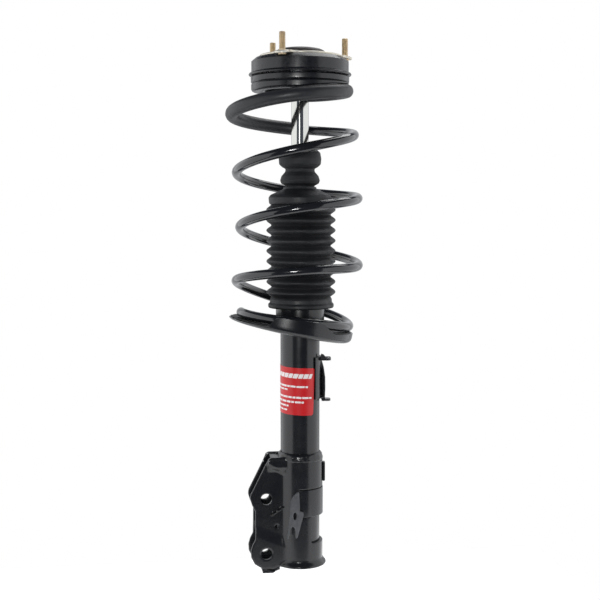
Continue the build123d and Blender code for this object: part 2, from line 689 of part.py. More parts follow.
pieces["mount_studs"] = make_mount_studs()
pieces["mount_shell"] = make_mount_shell()
pieces["mount_rubber"] = make_mount_rubber()
pieces["mount_core"] = make_mount_core()
pieces["rod_washer"] = make_rod_washer()
pieces["rod_nut"] = make_rod_nut()
pieces["dust_cap"] = make_dust_cap()

for name, shape in pieces.items():
    export_step(Pos(0, 0, -PLATE_TOP) * shape, f"parts/{name}.step")
    print(name, "solids", len(shape.solids()), "volume", round(shape.volume, 1), "valid", shape.is_valid)
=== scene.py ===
# %% [markdown]
# # A suspension strut, piece by piece
#
# A strut is a damper, a spring and a top mount in one unit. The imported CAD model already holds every
# piece at its true size. This script gives each visible piece its finished surface: pressed sheet with
# soft edges, wound wire, moulded rubber, plated threads. It loads the frame first, because every
# position below comes from it.

# %% The fixed frame
import math

import bmesh
import bpy
import numpy as np
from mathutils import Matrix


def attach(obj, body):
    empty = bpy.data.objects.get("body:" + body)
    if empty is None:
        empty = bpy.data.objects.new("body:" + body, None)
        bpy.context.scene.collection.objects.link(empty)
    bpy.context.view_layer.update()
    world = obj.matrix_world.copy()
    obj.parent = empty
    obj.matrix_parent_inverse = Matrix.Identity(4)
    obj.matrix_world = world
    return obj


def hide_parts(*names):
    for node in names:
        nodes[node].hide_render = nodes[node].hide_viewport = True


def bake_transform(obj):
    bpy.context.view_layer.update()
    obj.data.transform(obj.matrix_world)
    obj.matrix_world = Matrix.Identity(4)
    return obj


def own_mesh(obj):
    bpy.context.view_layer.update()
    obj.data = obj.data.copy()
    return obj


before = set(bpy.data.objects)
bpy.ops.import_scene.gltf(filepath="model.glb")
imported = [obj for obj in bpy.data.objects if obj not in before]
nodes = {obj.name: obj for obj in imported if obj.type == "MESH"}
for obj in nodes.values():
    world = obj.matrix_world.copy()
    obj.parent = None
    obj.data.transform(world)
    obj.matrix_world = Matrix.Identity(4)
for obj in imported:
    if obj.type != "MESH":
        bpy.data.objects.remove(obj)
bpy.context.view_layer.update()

# %% [markdown]
# ## Heights and units
#
# The frame is in metres with its origin on the mount plate. A workshop drawing of a strut gives
# heights from the foot of the bracket in millimetres, so one helper turns such a height into the
# frame's Z. All shapes below are drawn in millimetres and brought to metres once, at the end.

# %% Units
MM = 0.001
PLATE_TOP = 655.0


def to_frame(points):
    """Millimetres with heights from the bracket's foot -> metres in the frame."""
    moved = np.array(points, float)
    moved[..., 2] = moved[..., 2] - PLATE_TOP
    return moved * MM


# %% [markdown]
# ## Colours
#
# Paint makers and web pages give colours as sRGB hex values. A shader works in linear light, so one
# function does the change: values under 0.04045 are divided by 12.92, the rest follow a 2.4 power.

# %% sRGB to linear


def linear(hex_colour):
    """'#rrggbb' -> linear RGBA."""
    parts = [int(hex_colour[i:i + 2], 16) / 255 for i in (1, 3, 5)]
    light = [c / 12.92 if c <= 0.04045 else ((c + 0.055) / 1.055) ** 2.4 for c in parts]
    return (*light, 1.0)


print("mid grey in linear light", [round(c, 3) for c in linear("#808080")[:3]])

# %% [markdown]
# ## One helper for shader nodes
#
# Every finish below is a small node tree. One function adds a node, sets its values and makes its
# links, so that a finish reads as a short list of what it is made of.

# %% Node helper and finish starter


def add(tree, kind, values=None, links=None, **attributes):
    """Add a node; values are {socket: constant}, links are {socket: (node, output)}."""
    made = tree.nodes.new(kind)
    for name, value in attributes.items():
        setattr(made, name, value)
    for socket, value in (values or {}).items():
        made.inputs[socket].default_value = value
    for socket, (source, output) in (links or {}).items():
        tree.links.new(source.outputs[output], made.inputs[socket])
    return made


def finish(name, base, roughness, **surface):
    """New material with its shader set; returns the material, its tree and the shader."""
    material = bpy.data.materials.new(name)
    material.use_nodes = True
    tree = material.node_tree
    shader = tree.nodes["Principled BSDF"]
    shader.inputs["Base Color"].default_value = linear(base)
    shader.inputs["Roughness"].default_value = roughness
    for socket, value in surface.items():
        shader.inputs[socket.replace("_", " ")].default_value = value
    material.diffuse_color = linear(base)
    return material, tree, shader


def where(tree, scale=(1.0, 1.0, 1.0)):
    """Object coordinates in millimetres, stretched by scale."""
    spot = add(tree, "ShaderNodeTexCoord")
    return add(tree, "ShaderNodeMapping", {"Scale": [s / MM for s in scale]}, {"Vector": (spot, "Object")})


def vary(shader, source, socket, low, high, steps):
    """Take a shader socket from one colour to another as a pattern runs between two steps."""
    ramp = add(shader.id_data, "ShaderNodeValToRGB", links={"Fac": (source, "Fac")})
    first, last = ramp.color_ramp.elements[0], ramp.color_ramp.elements[1]
    first.position, last.position = steps
    first.color, last.color = low, high
    shader.id_data.links.new(ramp.outputs["Color"], shader.inputs[socket])
    return ramp


def gloss(shader, source, low, high):
    """Roughness that drifts between two values with a pattern."""
    return vary(shader, source, "Roughness", (low, low, low, 1.0), (high, high, high, 1.0), (0.3, 0.7))


def tint(shader, source, low, high, steps=(0.3, 0.7)):
    """Colour that drifts between two hex colours with a pattern."""
    return vary(shader, source, "Base Color", linear(low), linear(high), steps)


def roughen(shader, source, strength, distance_mm, output="Fac"):
    """Bump from a pattern, with its real height in millimetres."""
    bump = add(shader.id_data, "ShaderNodeBump", {"Strength": strength, "Distance": distance_mm * MM},
               {"Height": (source, output)})
    shader.id_data.links.new(bump.outputs["Normal"], shader.inputs["Normal"])
    return bump


# %% [markdown]
# ## Black enamel on pressed steel
#
# The tube, the bracket and the seats are steel, dipped and stoved in black enamel. The film is glossy
# but not flat: it carries orange peel, waves about 2 mm across and a few microns high, and the gloss
# drops a little where dust settled. The peel is kept faint: it only softens what the gloss mirrors.

# %% Enamel
enamel, tree, shader = finish("stoved_black_enamel", "#131416", 0.3, Coat_Weight=0.25, Coat_Roughness=0.12)
peel = add(tree, "ShaderNodeTexNoise", {"Scale": 0.55, "Detail": 2.0}, {"Vector": (where(tree), "Vector")})
roughen(shader, peel, 0.08, 0.06)
dust = add(tree, "ShaderNodeTexNoise", {"Scale": 0.05, "Detail": 5.0}, {"Vector": (where(tree), "Vector")})
gloss(shader, dust, 0.20, 0.30)
film = add(tree, "ShaderNodeTexNoise", {"Scale": 0.012, "Detail": 3.0}, {"Vector": (where(tree), "Vector")})
tint(shader, film, "#101113", "#18191c")
print("enamel sockets driven:", [i.name for i in shader.inputs if i.is_linked])

# %% Satin paint, grey as painted reflection
# The sensor bracket's tongue is flat sheet in the same black paint as the strap, with a thinner, duller coat.
# Its soft grey base colour is painted reflection: the light its flat face mirrors, put into the colour.
tongue_grey_painted_reflection, tree, shader = finish("satin_grey_painted_reflection", "#4a4c4f", 0.5)
haze = add(tree, "ShaderNodeTexNoise", {"Scale": 0.3, "Detail": 4.0}, {"Vector": (where(tree), "Vector")})
tint(shader, haze, "#454749", "#535558")
gloss(shader, haze, 0.42, 0.56)

# %% [markdown]
# ## Powder coat on the spring
#
# A spring is shot-peened and powder coated. Under the film lie the peening dimples, about 1 mm
# across. The film is thick and flows out as it is baked, so it shines more than the enamel.

# %% Powder coat
powder, tree, shader = finish("spring_powder_coat", "#15161a", 0.2, Coat_Weight=0.6, Coat_Roughness=0.04)
dimples = add(tree, "ShaderNodeTexVoronoi", {"Scale": 0.8}, {"Vector": (where(tree), "Vector")},
              feature="SMOOTH_F1")
roughen(shader, dimples, 0.03, 0.03, "Distance")
patches = add(tree, "ShaderNodeTexNoise", {"Scale": 0.09, "Detail": 4.0}, {"Vector": (where(tree), "Vector")})
gloss(shader, patches, 0.12, 0.20)
tone = add(tree, "ShaderNodeTexNoise", {"Scale": 0.02, "Detail": 2.0}, {"Vector": (where(tree), "Vector")})
tint(shader, tone, "#121316", "#1b1c20")
print("powder coat made")

# %% [markdown]
# ## Rubber, sleeve plastic and foam
#
# The boot and the insulators are moulded rubber: a dull black that greys a little where a bloom of
# wax comes to the surface. The sleeve is extruded plastic, smoother and slightly greyer. The bump
# stop is microcellular foam: a moulded skin with pin-holes about half a millimetre across.

# %% Rubber
rubber, tree, shader = finish("moulded_rubber", "#1a1b1d", 0.52)
bloom = add(tree, "ShaderNodeTexNoise", {"Scale": 0.035, "Detail": 6.0}, {"Vector": (where(tree), "Vector")})
tint(shader, bloom, "#141517", "#212225")
grain = add(tree, "ShaderNodeTexNoise", {"Scale": 2.2, "Detail": 3.0}, {"Vector": (where(tree), "Vector")})
roughen(shader, grain, 0.3, 0.05)
wax = add(tree, "ShaderNodeTexNoise", {"Scale": 0.12, "Detail": 4.0}, {"Vector": (where(tree), "Vector")})
gloss(shader, wax, 0.42, 0.62)

# %% Sleeve plastic
sleeve_plastic, tree, shader = finish("extruded_sleeve_plastic", "#242528", 0.42)
draw = add(tree, "ShaderNodeTexNoise", {"Scale": 0.3, "Detail": 4.0}, {"Vector": (where(tree), "Vector")})
gloss(shader, draw, 0.36, 0.5)
roughen(shader, draw, 0.2, 0.08)

# %% Foam
foam, tree, shader = finish("microcellular_foam", "#1b1c1e", 0.62)
cells = add(tree, "ShaderNodeTexVoronoi", {"Scale": 1.4}, {"Vector": (where(tree), "Vector")})
roughen(shader, cells, 0.5, 0.12, "Distance")
skin = add(tree, "ShaderNodeTexNoise", {"Scale": 0.08, "Detail": 5.0}, {"Vector": (where(tree), "Vector")})
tint(shader, skin, "#131416", "#232427")
print("rubber, sleeve and foam made")

# %% [markdown]
# ## Chrome, yellow zinc and plain steel
#
# The rod is hard chromed and ground round, which leaves very fine rings. The plate and studs are zinc
# plated and dipped in chromate, which turns the zinc a pale straw that shades to tan in patches.
# Plain steel pieces inside are turned or pressed and only oiled.

# %% Chrome
chrome, tree, shader = finish("hard_chrome", "#d2d3ce", 0.1, Metallic=1.0)
rings = add(tree, "ShaderNodeTexNoise", {"Scale": 1.0, "Detail": 2.0},
            {"Vector": (where(tree, (0.02, 0.02, 3.0)), "Vector")})
gloss(shader, rings, 0.07, 0.14)
roughen(shader, rings, 0.06, 0.01)

# %% Yellow zinc
zinc, tree, shader = finish("yellow_chromated_zinc", "#d6c29e", 0.38, Metallic=0.6)
hue = add(tree, "ShaderNodeTexNoise", {"Scale": 0.11, "Detail": 4.0}, {"Vector": (where(tree), "Vector")})
ramp = tint(shader, hue, "#dfc8a6", "#cbb59d", (0.3, 0.72))
middle = ramp.color_ramp.elements.new(0.52)
middle.color = linear("#d6c39e")
frost = add(tree, "ShaderNodeTexNoise", {"Scale": 1.5, "Detail": 2.0}, {"Vector": (where(tree), "Vector")})
gloss(shader, frost, 0.3, 0.48)
roughen(shader, frost, 0.15, 0.02)

# %% Pale zinc of the plate
pale_zinc, tree, shader = finish("pale_chromated_zinc", "#d8d6bd", 0.34, Metallic=0.55)
hue = add(tree, "ShaderNodeTexNoise", {"Scale": 0.06, "Detail": 4.0}, {"Vector": (where(tree), "Vector")})
tint(shader, hue, "#eeebe2", "#e4dcc8")
rub = add(tree, "ShaderNodeTexNoise", {"Scale": 0.4, "Detail": 3.0}, {"Vector": (where(tree), "Vector")})
gloss(shader, rub, 0.28, 0.46)
print("chrome and zinc made")

# %% Steel, bearing steel, sintered iron, nylon, bronze
steel, tree, shader = finish("oiled_turned_steel", "#8d8e92", 0.36, Metallic=1.0)
tool = add(tree, "ShaderNodeTexNoise", {"Scale": 1.0, "Detail": 2.0},
           {"Vector": (where(tree, (0.05, 0.05, 2.0)), "Vector")})
gloss(shader, tool, 0.28, 0.46)
roughen(shader, tool, 0.15, 0.02)

ball_steel, tree, shader = finish("ground_bearing_steel", "#b7b8bc", 0.16, Metallic=1.0)
lap = add(tree, "ShaderNodeTexNoise", {"Scale": 1.2, "Detail": 2.0}, {"Vector": (where(tree), "Vector")})
gloss(shader, lap, 0.12, 0.24)

sintered, tree, shader = finish("sintered_iron", "#4a4b4e", 0.58, Metallic=0.8)
pores = add(tree, "ShaderNodeTexVoronoi", {"Scale": 2.0}, {"Vector": (where(tree), "Vector")})
roughen(shader, pores, 0.4, 0.06, "Distance")

nylon, tree, shader = finish("moulded_nylon", "#cfc6ac", 0.44)
mottle = add(tree, "ShaderNodeTexNoise", {"Scale": 0.1, "Detail": 3.0}, {"Vector": (where(tree), "Vector")})
tint(shader, mottle, "#c9bfa3", "#d8d1ba")

bronze, tree, shader = finish("bronze_bush", "#a9824a", 0.35, Metallic=1.0)
worn = add(tree, "ShaderNodeTexNoise", {"Scale": 0.3, "Detail": 3.0}, {"Vector": (where(tree), "Vector")})
gloss(shader, worn, 0.28, 0.42)
print("inner finishes made")

# %% [markdown]
# ## Mount plastic and the label
#
# The mount's shell and upper seat are glass-filled nylon, moulded black with a bright skin. The label
# is red vinyl with white print, under a clear film, so it shines evenly.

# %% Mount plastic, vinyl and print
mount_black, tree, shader = finish("moulded_black_nylon", "#141519", 0.28,
                                   Coat_Weight=0.2, Coat_Roughness=0.1)
flow = add(tree, "ShaderNodeTexNoise", {"Scale": 0.25, "Detail": 4.0}, {"Vector": (where(tree), "Vector")})
gloss(shader, flow, 0.24, 0.38)
roughen(shader, flow, 0.15, 0.05)

# The cap is softer and browner than the drum, with a matt skin.
cap_brown, tree, shader = finish("soft_cap_plastic", "#241c1a", 0.5)
cloud = add(tree, "ShaderNodeTexNoise", {"Scale": 0.1, "Detail": 4.0}, {"Vector": (where(tree), "Vector")})
tint(shader, cloud, "#1f1816", "#2b2220")
gloss(shader, cloud, 0.42, 0.58)

vinyl, tree, shader = finish("red_vinyl", "#c8181c", 0.34)
fade = add(tree, "ShaderNodeTexNoise", {"Scale": 0.04, "Detail": 3.0}, {"Vector": (where(tree), "Vector")})
tint(shader, fade, "#c3151a", "#cf2024")
lay = add(tree, "ShaderNodeTexNoise", {"Scale": 0.2, "Detail": 2.0}, {"Vector": (where(tree), "Vector")})
roughen(shader, lay, 0.1, 0.04)

white_print, tree, shader = finish("white_print", "#f3eeee", 0.4)
ink = add(tree, "ShaderNodeTexNoise", {"Scale": 0.8, "Detail": 3.0}, {"Vector": (where(tree), "Vector")})
tint(shader, ink, "#e6dedd", "#f8f5f5")
print("materials so far", len(bpy.data.materials))

# %% [markdown]
# ## From arrays to a mesh
#
# A surface is a grid of points: rows one way, columns the other. The faces are always the same pattern,
# four neighbours at a time, so numpy can write them all at once. A grid may close on itself either way.
# Where a row shrinks to a point its corners are merged, which leaves a closed fan of triangles.

# %% Grid helpers
SHARP_ANGLE = 38.0  # degrees; a steeper edge is shaded as a crease


def quads(rows, columns, wrap_rows=False, wrap_columns=False, offset=0):
    """Faces of a grid of rows x columns points: (i,j), (i,j+1), (i+1,j+1), (i+1,j)."""
    i, j = np.meshgrid(np.arange(rows if wrap_rows else rows - 1),
                       np.arange(columns if wrap_columns else columns - 1), indexing="ij")
    below, right = (i + 1) % rows, (j + 1) % columns
    corners = [i * columns + j, i * columns + right, below * columns + right, below * columns + j]
    return np.stack([c.ravel() for c in corners], axis=1) + offset


def end_caps(rings, around, offset=0):
    """The two faces that close a grid of rings at its ends."""
    first = np.arange(around) + offset
    return [first[::-1].tolist(), (first + (rings - 1) * around).tolist()]


def about_axis(radius, angle, height):
    """Points at a distance round the rod's axis: x = r cos a, y = r sin a, z = h."""
    return np.stack(np.broadcast_arrays(radius * np.cos(angle), radius * np.sin(angle), height), axis=-1)


def put_in_scene(name, data):
    """New object that holds a mesh, curve, camera or light, linked to the scene."""
    made = bpy.data.objects.new(name, data)
    bpy.context.scene.collection.objects.link(made)
    return made


def mesh_from(name, points, faces):
    """Mesh from points in the frame (metres) and lists of corners."""
    mesh = bpy.data.meshes.new(name)
    mesh.from_pydata(points.reshape(-1, 3).tolist(), [], [list(f) for f in faces])
    return mesh


def read_points(piece):
    """A piece's vertices, one row of x, y, z each, in metres."""
    flat = np.empty(len(piece.data.vertices) * 3)
    piece.data.vertices.foreach_get("co", flat)
    return flat.reshape(-1, 3)


def write_points(piece, points):
    """Put moved vertices back."""
    piece.data.vertices.foreach_set("co", points.ravel())
    piece.data.update()


def make_piece(name, points, faces, body, slot, material, replaces=()):
    """Mesh object from points in the frame (metres), riding on a body."""
    return dress(put_in_scene(name, mesh_from(name, points, faces)), body, slot, material, replaces)


def dress(piece, body, slot, material, replaces=()):
    """Outward normals, smooth shading, finish, body and the CAD nodes it stands for.

    body is None for a piece that is left unattached.
    """
    mesh = piece.data
    work = bmesh.new()
    work.from_mesh(mesh)
    bmesh.ops.remove_doubles(work, verts=work.verts, dist=1e-7)
    bmesh.ops.recalc_face_normals(work, faces=work.faces)
    work.to_mesh(mesh)
    work.free()
    mesh.materials.clear()
    mesh.materials.append(material)
    mesh.polygons.foreach_set("use_smooth", np.ones(len(mesh.polygons), bool))
    mesh.set_sharp_from_angle(angle=math.radians(SHARP_ANGLE))
    if body:
        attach(piece, body)
    if replaces:
        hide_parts(*replaces)
    size = np.ptp(read_points(piece), axis=0)
    print(f"{piece.name}: {len(mesh.polygons)} faces, {np.round(size / MM, 1)} mm")
    return piece


# %% [markdown]
# ## Turned shapes
#
# Much of a strut is round about the rod: tube, cap, boot, mount. Such a shape is a half section swept
# round the axis: x = r cos a, y = r sin a, z = h. Real sections have no knife edges, so each corner of
# the section is replaced by a short arc that is tangent to both its sides.

# %% Rounded section and lathe


def rounded(corners, closed=True, steps=5):
    """Section with rounded corners from (radius, height, corner radius) rows.

    At each corner the arc starts and ends t = r tan(turn / 2) away, limited to 0.48 of a side, and is
    drawn as a quadratic curve between those two points.
    """
    data = np.array(corners, float)
    here, size = data[:, :2], data[:, 2]
    out = []
    count = len(here)
    for k in range(count):
        if size[k] <= 0 or (not closed and k in (0, count - 1)):
            out.append(here[k])
            continue
        back = here[(k - 1) % count] - here[k]
        ahead = here[(k + 1) % count] - here[k]
        long_back, long_ahead = np.linalg.norm(back), np.linalg.norm(ahead)
        back, ahead = back / long_back, ahead / long_ahead
        opening = math.acos(np.clip(back @ ahead, -1, 1))
        reach = min(size[k] / max(math.tan(opening / 2), 1e-3), 0.48 * long_back, 0.48 * long_ahead)
        t = np.linspace(0, 1, steps)[:, None]
        start, end = here[k] + back * reach, here[k] + ahead * reach
        out.extend((1 - t) ** 2 * start + 2 * t * (1 - t) * here[k] + t ** 2 * end)
    return np.array(out)


def lathe(section, closed=True, segments=128, start=0.0, turn=360.0):
    """Points and faces of a section swept round the axis; section rows are (radius, height)."""
    full = turn >= 360.0
    angle = np.radians(start + np.linspace(0, turn, segments, endpoint=not full))
    r, h = section[:, 0][:, None], section[:, 1][:, None]
    faces = quads(len(section), segments, wrap_rows=closed, wrap_columns=full)
    return to_frame(about_axis(r, angle, h)).reshape(-1, 3), faces


def turned(name, corners, body, slot, material, replaces=(), closed=True, segments=128, steps=5):
    """Round piece from the corners of its half section."""
    points, faces = lathe(rounded(corners, closed, steps), closed, segments)
    return make_piece(name, points, faces, body, slot, material, replaces)


# %% [markdown]
# ## Damper tube and its base
#
# The tube is drawn steel, 50 mm across with a 2.5 mm wall, and its foot is closed by a dished cap with
# a rolled edge. Both are plain turned shapes with small edge radii.

# %% Tube and base cap
PAINTED = ("damper_body", "black_paint", enamel)  # body, slot and finish of every painted pressing
turned("strut_tube_drawn", [
    (22.5, 8, 0.6), (25, 8, 0.8), (25, 440, 0.8), (22.5, 440, 0.6)],
    *PAINTED, ["strut_tube"], segments=144)
turned("base_cap_dished", [
    (0, 17, 0), (16.5, 14, 3), (19.5, 8, 1), (22.5, 8, 0.5), (22.5, 14, 0.5), (19.5, 18, 2), (0, 21, 0)],
    *PAINTED, ["base_cap"], closed=False)

# %% [markdown]
# ## Softening a pressed or moulded CAD shape
#
# Pressed sheet has a radius on every bend and edge. One way to get that all over a shape is to copy
# the CAD solid, rebuild its skin from small even cells and relax it: flat faces stay flat and edges
# melt to about the cell size. The cells must be much smaller than the sheet is thick.

# %% Soften helper


def softened(node, name, cell_mm, relax=6, extra=()):
    """Copy of a CAD node, joined with extra meshes, rebuilt from even cells and relaxed."""
    work = bmesh.new()
    work.from_mesh(nodes[node].data)
    bmesh.ops.remove_doubles(work, verts=work.verts, dist=1e-6)
    for points, faces in extra:
        added = [work.verts.new(p) for p in points.reshape(-1, 3)]
        for face in faces:
            if len(set(face)) == len(face):
                work.faces.new([added[i] for i in face])
    mesh = bpy.data.meshes.new(name)
    work.to_mesh(mesh)
    work.free()
    piece = put_in_scene(name, mesh)
    skin = piece.modifiers.new("cells", "REMESH")
    skin.mode, skin.voxel_size, skin.use_smooth_shade = "VOXEL", cell_mm * MM, True
    calm = piece.modifiers.new("relax", "SMOOTH")
    calm.factor, calm.iterations = 0.5, relax
    settled = piece.evaluated_get(bpy.context.evaluated_depsgraph_get())
    piece.data = bpy.data.meshes.new_from_object(settled)
    piece.modifiers.clear()
    bpy.data.meshes.remove(mesh)
    return piece


def reshape(piece, change):
    """Move a piece's vertices by a function of their positions in millimetres (heights from the foot)."""
    points = read_points(piece) / MM
    points[:, 2] += PLATE_TOP
    write_points(piece, to_frame(change(points)))


def ease(value, low, high):
    """Smooth step from 0 at low to 1 at high."""
    t = np.clip((value - low) / (high - low), 0, 1)
    return t * t * (3 - 2 * t)


# %% [markdown]
# ## Weld beads
#
# A robot lays a weld as a row of overlapping ripples. Swept round the tube, its section is a low hump
# whose height rises and falls by a few tenths of a millimetre, about every 7.5 mm here.

# %% Weld bead surface
BEAD_AROUND = 14  # points round a bead's own section
RIPPLE_LENGTH = 2.4  # mm; |sin(s / length)| has a hump for every pi lengths along the bead


def weld_ring(radius, height, size, start=0.0, turn=360.0, rise=None):
    """Bead round the tube: a hump of the given size, rippled all along.

    Points are centre + size * ripple * (cos b, sin b), with b round the bead's own section and
    ripple = 0.93 + 0.14 * |sin| of the way round, so it stays near 1. A bead that doesn't close
    thins to nothing at both ends. rise adds a height for each angle.
    """
    count = int(radius * math.radians(turn) / 0.6)
    full = turn >= 360.0
    a = np.radians(start + np.linspace(0, turn, count, endpoint=not full))[:, None]
    b = np.linspace(0, 2 * math.pi, BEAD_AROUND, endpoint=False)[None, :]
    ripple = 1 + 0.14 * np.abs(np.sin(a * radius / RIPPLE_LENGTH)) - 0.07
    if not full:
        way = np.linspace(0, 1, count)[:, None]
        ripple = ripple * np.clip(np.sqrt(np.sin(np.pi * np.clip(way, 0.002, 0.998))) * 2.2, 0.05, 1)
    r = radius + size * ripple * np.cos(b)
    z = height + (rise(a) if rise else 0 * a) + size * ripple * np.sin(b) * 1.15
    faces = quads(count, BEAD_AROUND, wrap_rows=full, wrap_columns=True).tolist()
    if not full:
        faces += end_caps(count, BEAD_AROUND)
    return to_frame(about_axis(r, a, z)), faces


print("bead of 3 mm has", len(weld_ring(25, 100, 3)[0]), "rings")

# %% [markdown]
# ## Knuckle bracket
#
# One sheet 3.8 mm thick is wrapped round the tube as a collar and folded out into two ears. The ears
# are embossed: the field round the bolt holes lies lower than the rim above it, which stiffens them.
# The copied solid is softened first, then the emboss is pressed in as a smooth function of height and
# distance, the same on both ears.

# %% Bracket with its emboss
EMBOSS_DEPTH, TAB_HEIGHT = 2.0, 2.6
TAB_X, TAB_Z, TAB_COS, TAB_SIN = -39.6, 75.6, 0.84, 0.54  # where the tab starts and how it slants
HOLES = ((-45.5, 95.7, 7.2), (-45.5, 25.0, 7.2), (-32.0, 60.0, 2.5))  # x, height and radius of each


def emboss(points):
    """Press the ears' middle field in, lance a small tab on each, and true up the holes.

    The field ends at a slanted line above, at the tube's side and at a slanted line below. The tab
    is a narrow ridge along a slanted line that rises TAB_HEIGHT out of the field.
    """
    x, y, z = points.T
    above = z - (124.8 + 0.60 * (-24.0 - x))
    below = z - (42.0 + 0.42 * (-19.0 - x))
    field = (1 - ease(x, -25.5, -18.0)) * (1 - ease(above, 0, 8)) * ease(below, -11, 4)
    along = (x - TAB_X) * TAB_COS + (z - TAB_Z) * TAB_SIN
    across = -(x - TAB_X) * TAB_SIN + (z - TAB_Z) * TAB_COS
    tab = (ease(along, -1.0, 0.6) * (1 - ease(along, 17.6, 19.0))
           * ease(across, -1.7, -0.2) * (1 - ease(across, 0.2, 1.1)))
    ear = ease(np.abs(y), 13.0, 14.5)
    y = y - np.sign(y) * (EMBOSS_DEPTH * field - TAB_HEIGHT * tab) * ear
    for hole_x, hole_z, hole_r in HOLES:
        reach = np.hypot(x - hole_x, z - hole_z)
        pull = np.where((np.abs(reach - hole_r) < 0.75) & (ear > 0.5), hole_r / np.maximum(reach, 0.1), 1.0)
        x, z = hole_x + (x - hole_x) * pull, hole_z + (z - hole_z) * pull
    return np.stack([x, y, z], axis=1)


bracket = softened("knuckle_bracket", "knuckle_bracket_pressed", 0.95, 3)
reshape(bracket, emboss)
dress(bracket, *PAINTED, ["knuckle_bracket"])

# %% Reinforcement, weld and locating bar
dress(softened("bracket_reinforcement", "bracket_channel", 0.8, 5),
      *PAINTED, ["bracket_reinforcement"])
top_bead = softened("bracket_weld", "bracket_weld_bead", 0.7, 4,
                    [weld_ring(26.2, 150.0, 2.2), weld_ring(27.6, 146.5, 1.8)])
dress(top_bead, *PAINTED, ["bracket_weld"])
dress(softened("locating_tab", "locating_bar", 0.45, 4),
      *PAINTED, ["locating_tab"])

# %% [markdown]
# ## Hose and lead brackets
#
# Both are small pressings about 3 mm thick. The upper one stands off the tube and holds the brake hose
# in its slotted tab. The lower one carries a flat forked tongue for a sensor lead.

# %% Small brackets
dress(softened("hose_bracket_upper", "hose_bracket_upper_pressed", 0.5, 5),
      *PAINTED, ["hose_bracket_upper"])
STRAP_STEPS, STRAP_START, STRAP_TURN = 64, -100.0, 116.0  # steps, and degrees round the tube
strap_section = rounded([(25.4, 73.5, 0.5), (29.4, 73.5, 0.9), (29.4, 108.5, 0.9), (25.4, 108.5, 0.5)])
strap_points, strap_faces = lathe(strap_section, True, STRAP_STEPS, STRAP_START, STRAP_TURN)
strap_end = np.arange(len(strap_section)) * STRAP_STEPS
strap_faces = strap_faces.tolist() + [strap_end.tolist(), (strap_end + STRAP_STEPS - 1)[::-1].tolist()]
make_piece("lead_bracket_strap", strap_points, strap_faces, *PAINTED, ["hose_bracket_lower"])


def flat_pressing(name, outlines, thickness, edge):
    """Flat plate in the X-Z plane (millimetres) with rounded edges; the first outline is the rim."""
    shape = bpy.data.curves.new(name, "CURVE")
    shape.dimensions, shape.fill_mode = "2D", "BOTH"
    shape.extrude, shape.bevel_depth, shape.bevel_resolution = (thickness / 2 - edge) * MM, edge * MM, 2
    for outline in outlines:
        spline = shape.splines.new("POLY")
        spline.points.add(len(outline) - 1)
        flat = np.zeros((len(outline), 4))
        flat[:, :2], flat[:, 3] = np.array(outline) * MM, 1
        spline.points.foreach_set("co", flat.ravel())
        spline.use_cyclic_u = True
    holder = put_in_scene(name + "_curve", shape)
    mesh = bpy.data.meshes.new_from_object(holder.evaluated_get(bpy.context.evaluated_depsgraph_get()))
    bpy.data.objects.remove(holder)
    return put_in_scene(name, mesh)


def place(piece, seat):
    """Map a flat piece's points (a, b, depth in millimetres) into the frame with a function."""
    write_points(piece, to_frame(seat(*(read_points(piece).T / MM))))


oval = [(-10.9 + 2.8 * math.cos(t), 76.8 + 5.3 * math.sin(t))
        for t in np.linspace(0, 2 * math.pi, 28, endpoint=False)]
fork = rounded([
    (-5, 82.4, 0.6), (-5.9, 106.4, 0.8), (-7, 107.4, 1), (-12.4, 102.6, 2), (-14.9, 99, 3),
    (-16, 96, 4), (-17.4, 74.6, 6), (-20.8, 49.6, 0.5), (-20.2, 48.7, 0.5), (-19.2, 49, 0.4),
    (-17, 61, 2), (-15.2, 63.5, 1.2), (-12.2, 63.5, 1.2), (-10.4, 60.5, 1.6), (-9.6, 49, 0.3),
    (-8.9, 48.3, 0.4), (-8.1, 49, 0.4), (-0.3, 77.4, 1.6), (-0.4, 81, 1.4)])
tongue = flat_pressing("lead_bracket_tongue", [fork, oval], 2.6, 0.5)
TONGUE_X, TONGUE_Y, TONGUE_TURN = -4.0, -30.5, math.radians(6.0)  # the line it turns about, and how far
place(tongue, lambda a, b, depth: np.stack([
    TONGUE_X + (a - TONGUE_X) * math.cos(TONGUE_TURN) + depth * math.sin(TONGUE_TURN),
    TONGUE_Y + (a - TONGUE_X) * math.sin(TONGUE_TURN) - depth * math.cos(TONGUE_TURN), b], axis=1))
# the tongue's grey finish is painted reflection, not a different paint
dress(tongue, "damper_body", "black_paint", tongue_grey_painted_reflection, [])

# %% [markdown]
# ## The spring's line
#
# A strut spring is not a plain helix: it is bowed at both ends to push against the side load of the
# axle. Its line is given by stations, a few for each turn, with the wire's distance from the rod and
# its height. Between stations both follow a cubic that passes through them with an even slope.

# %% Stations of the wire
SIDE_ANGLE = -8.0  # degrees; the direction that quarter-turn count 0 points in
WIRE_START, WIRE_END = 0.83, -17.9
STATIONS = np.array([
    (3, 62, 611.2), (2, 62, 611.2), (1, 61, 611.2), (0, 58, 610.6), (-1, 73.9, 600.8), (-2, 85.4, 582),
    (-3, 73.8, 568.2), (-4, 68, 556.9), (-5, 76, 536), (-6, 80, 508.8), (-7, 75, 486.8),
    (-8, 73, 477.6), (-9, 76, 464.5), (-10, 76, 440), (-11, 75, 411.5), (-12, 73.7, 393.5),
    (-13, 76, 389.3), (-14, 81, 372.2), (-15, 72, 335.5), (-16, 62, 315.8), (-17, 70, 327),
    (-18, 75.7, 334.5), (-19, 72, 329), (-20, 68, 323)])[::-1]


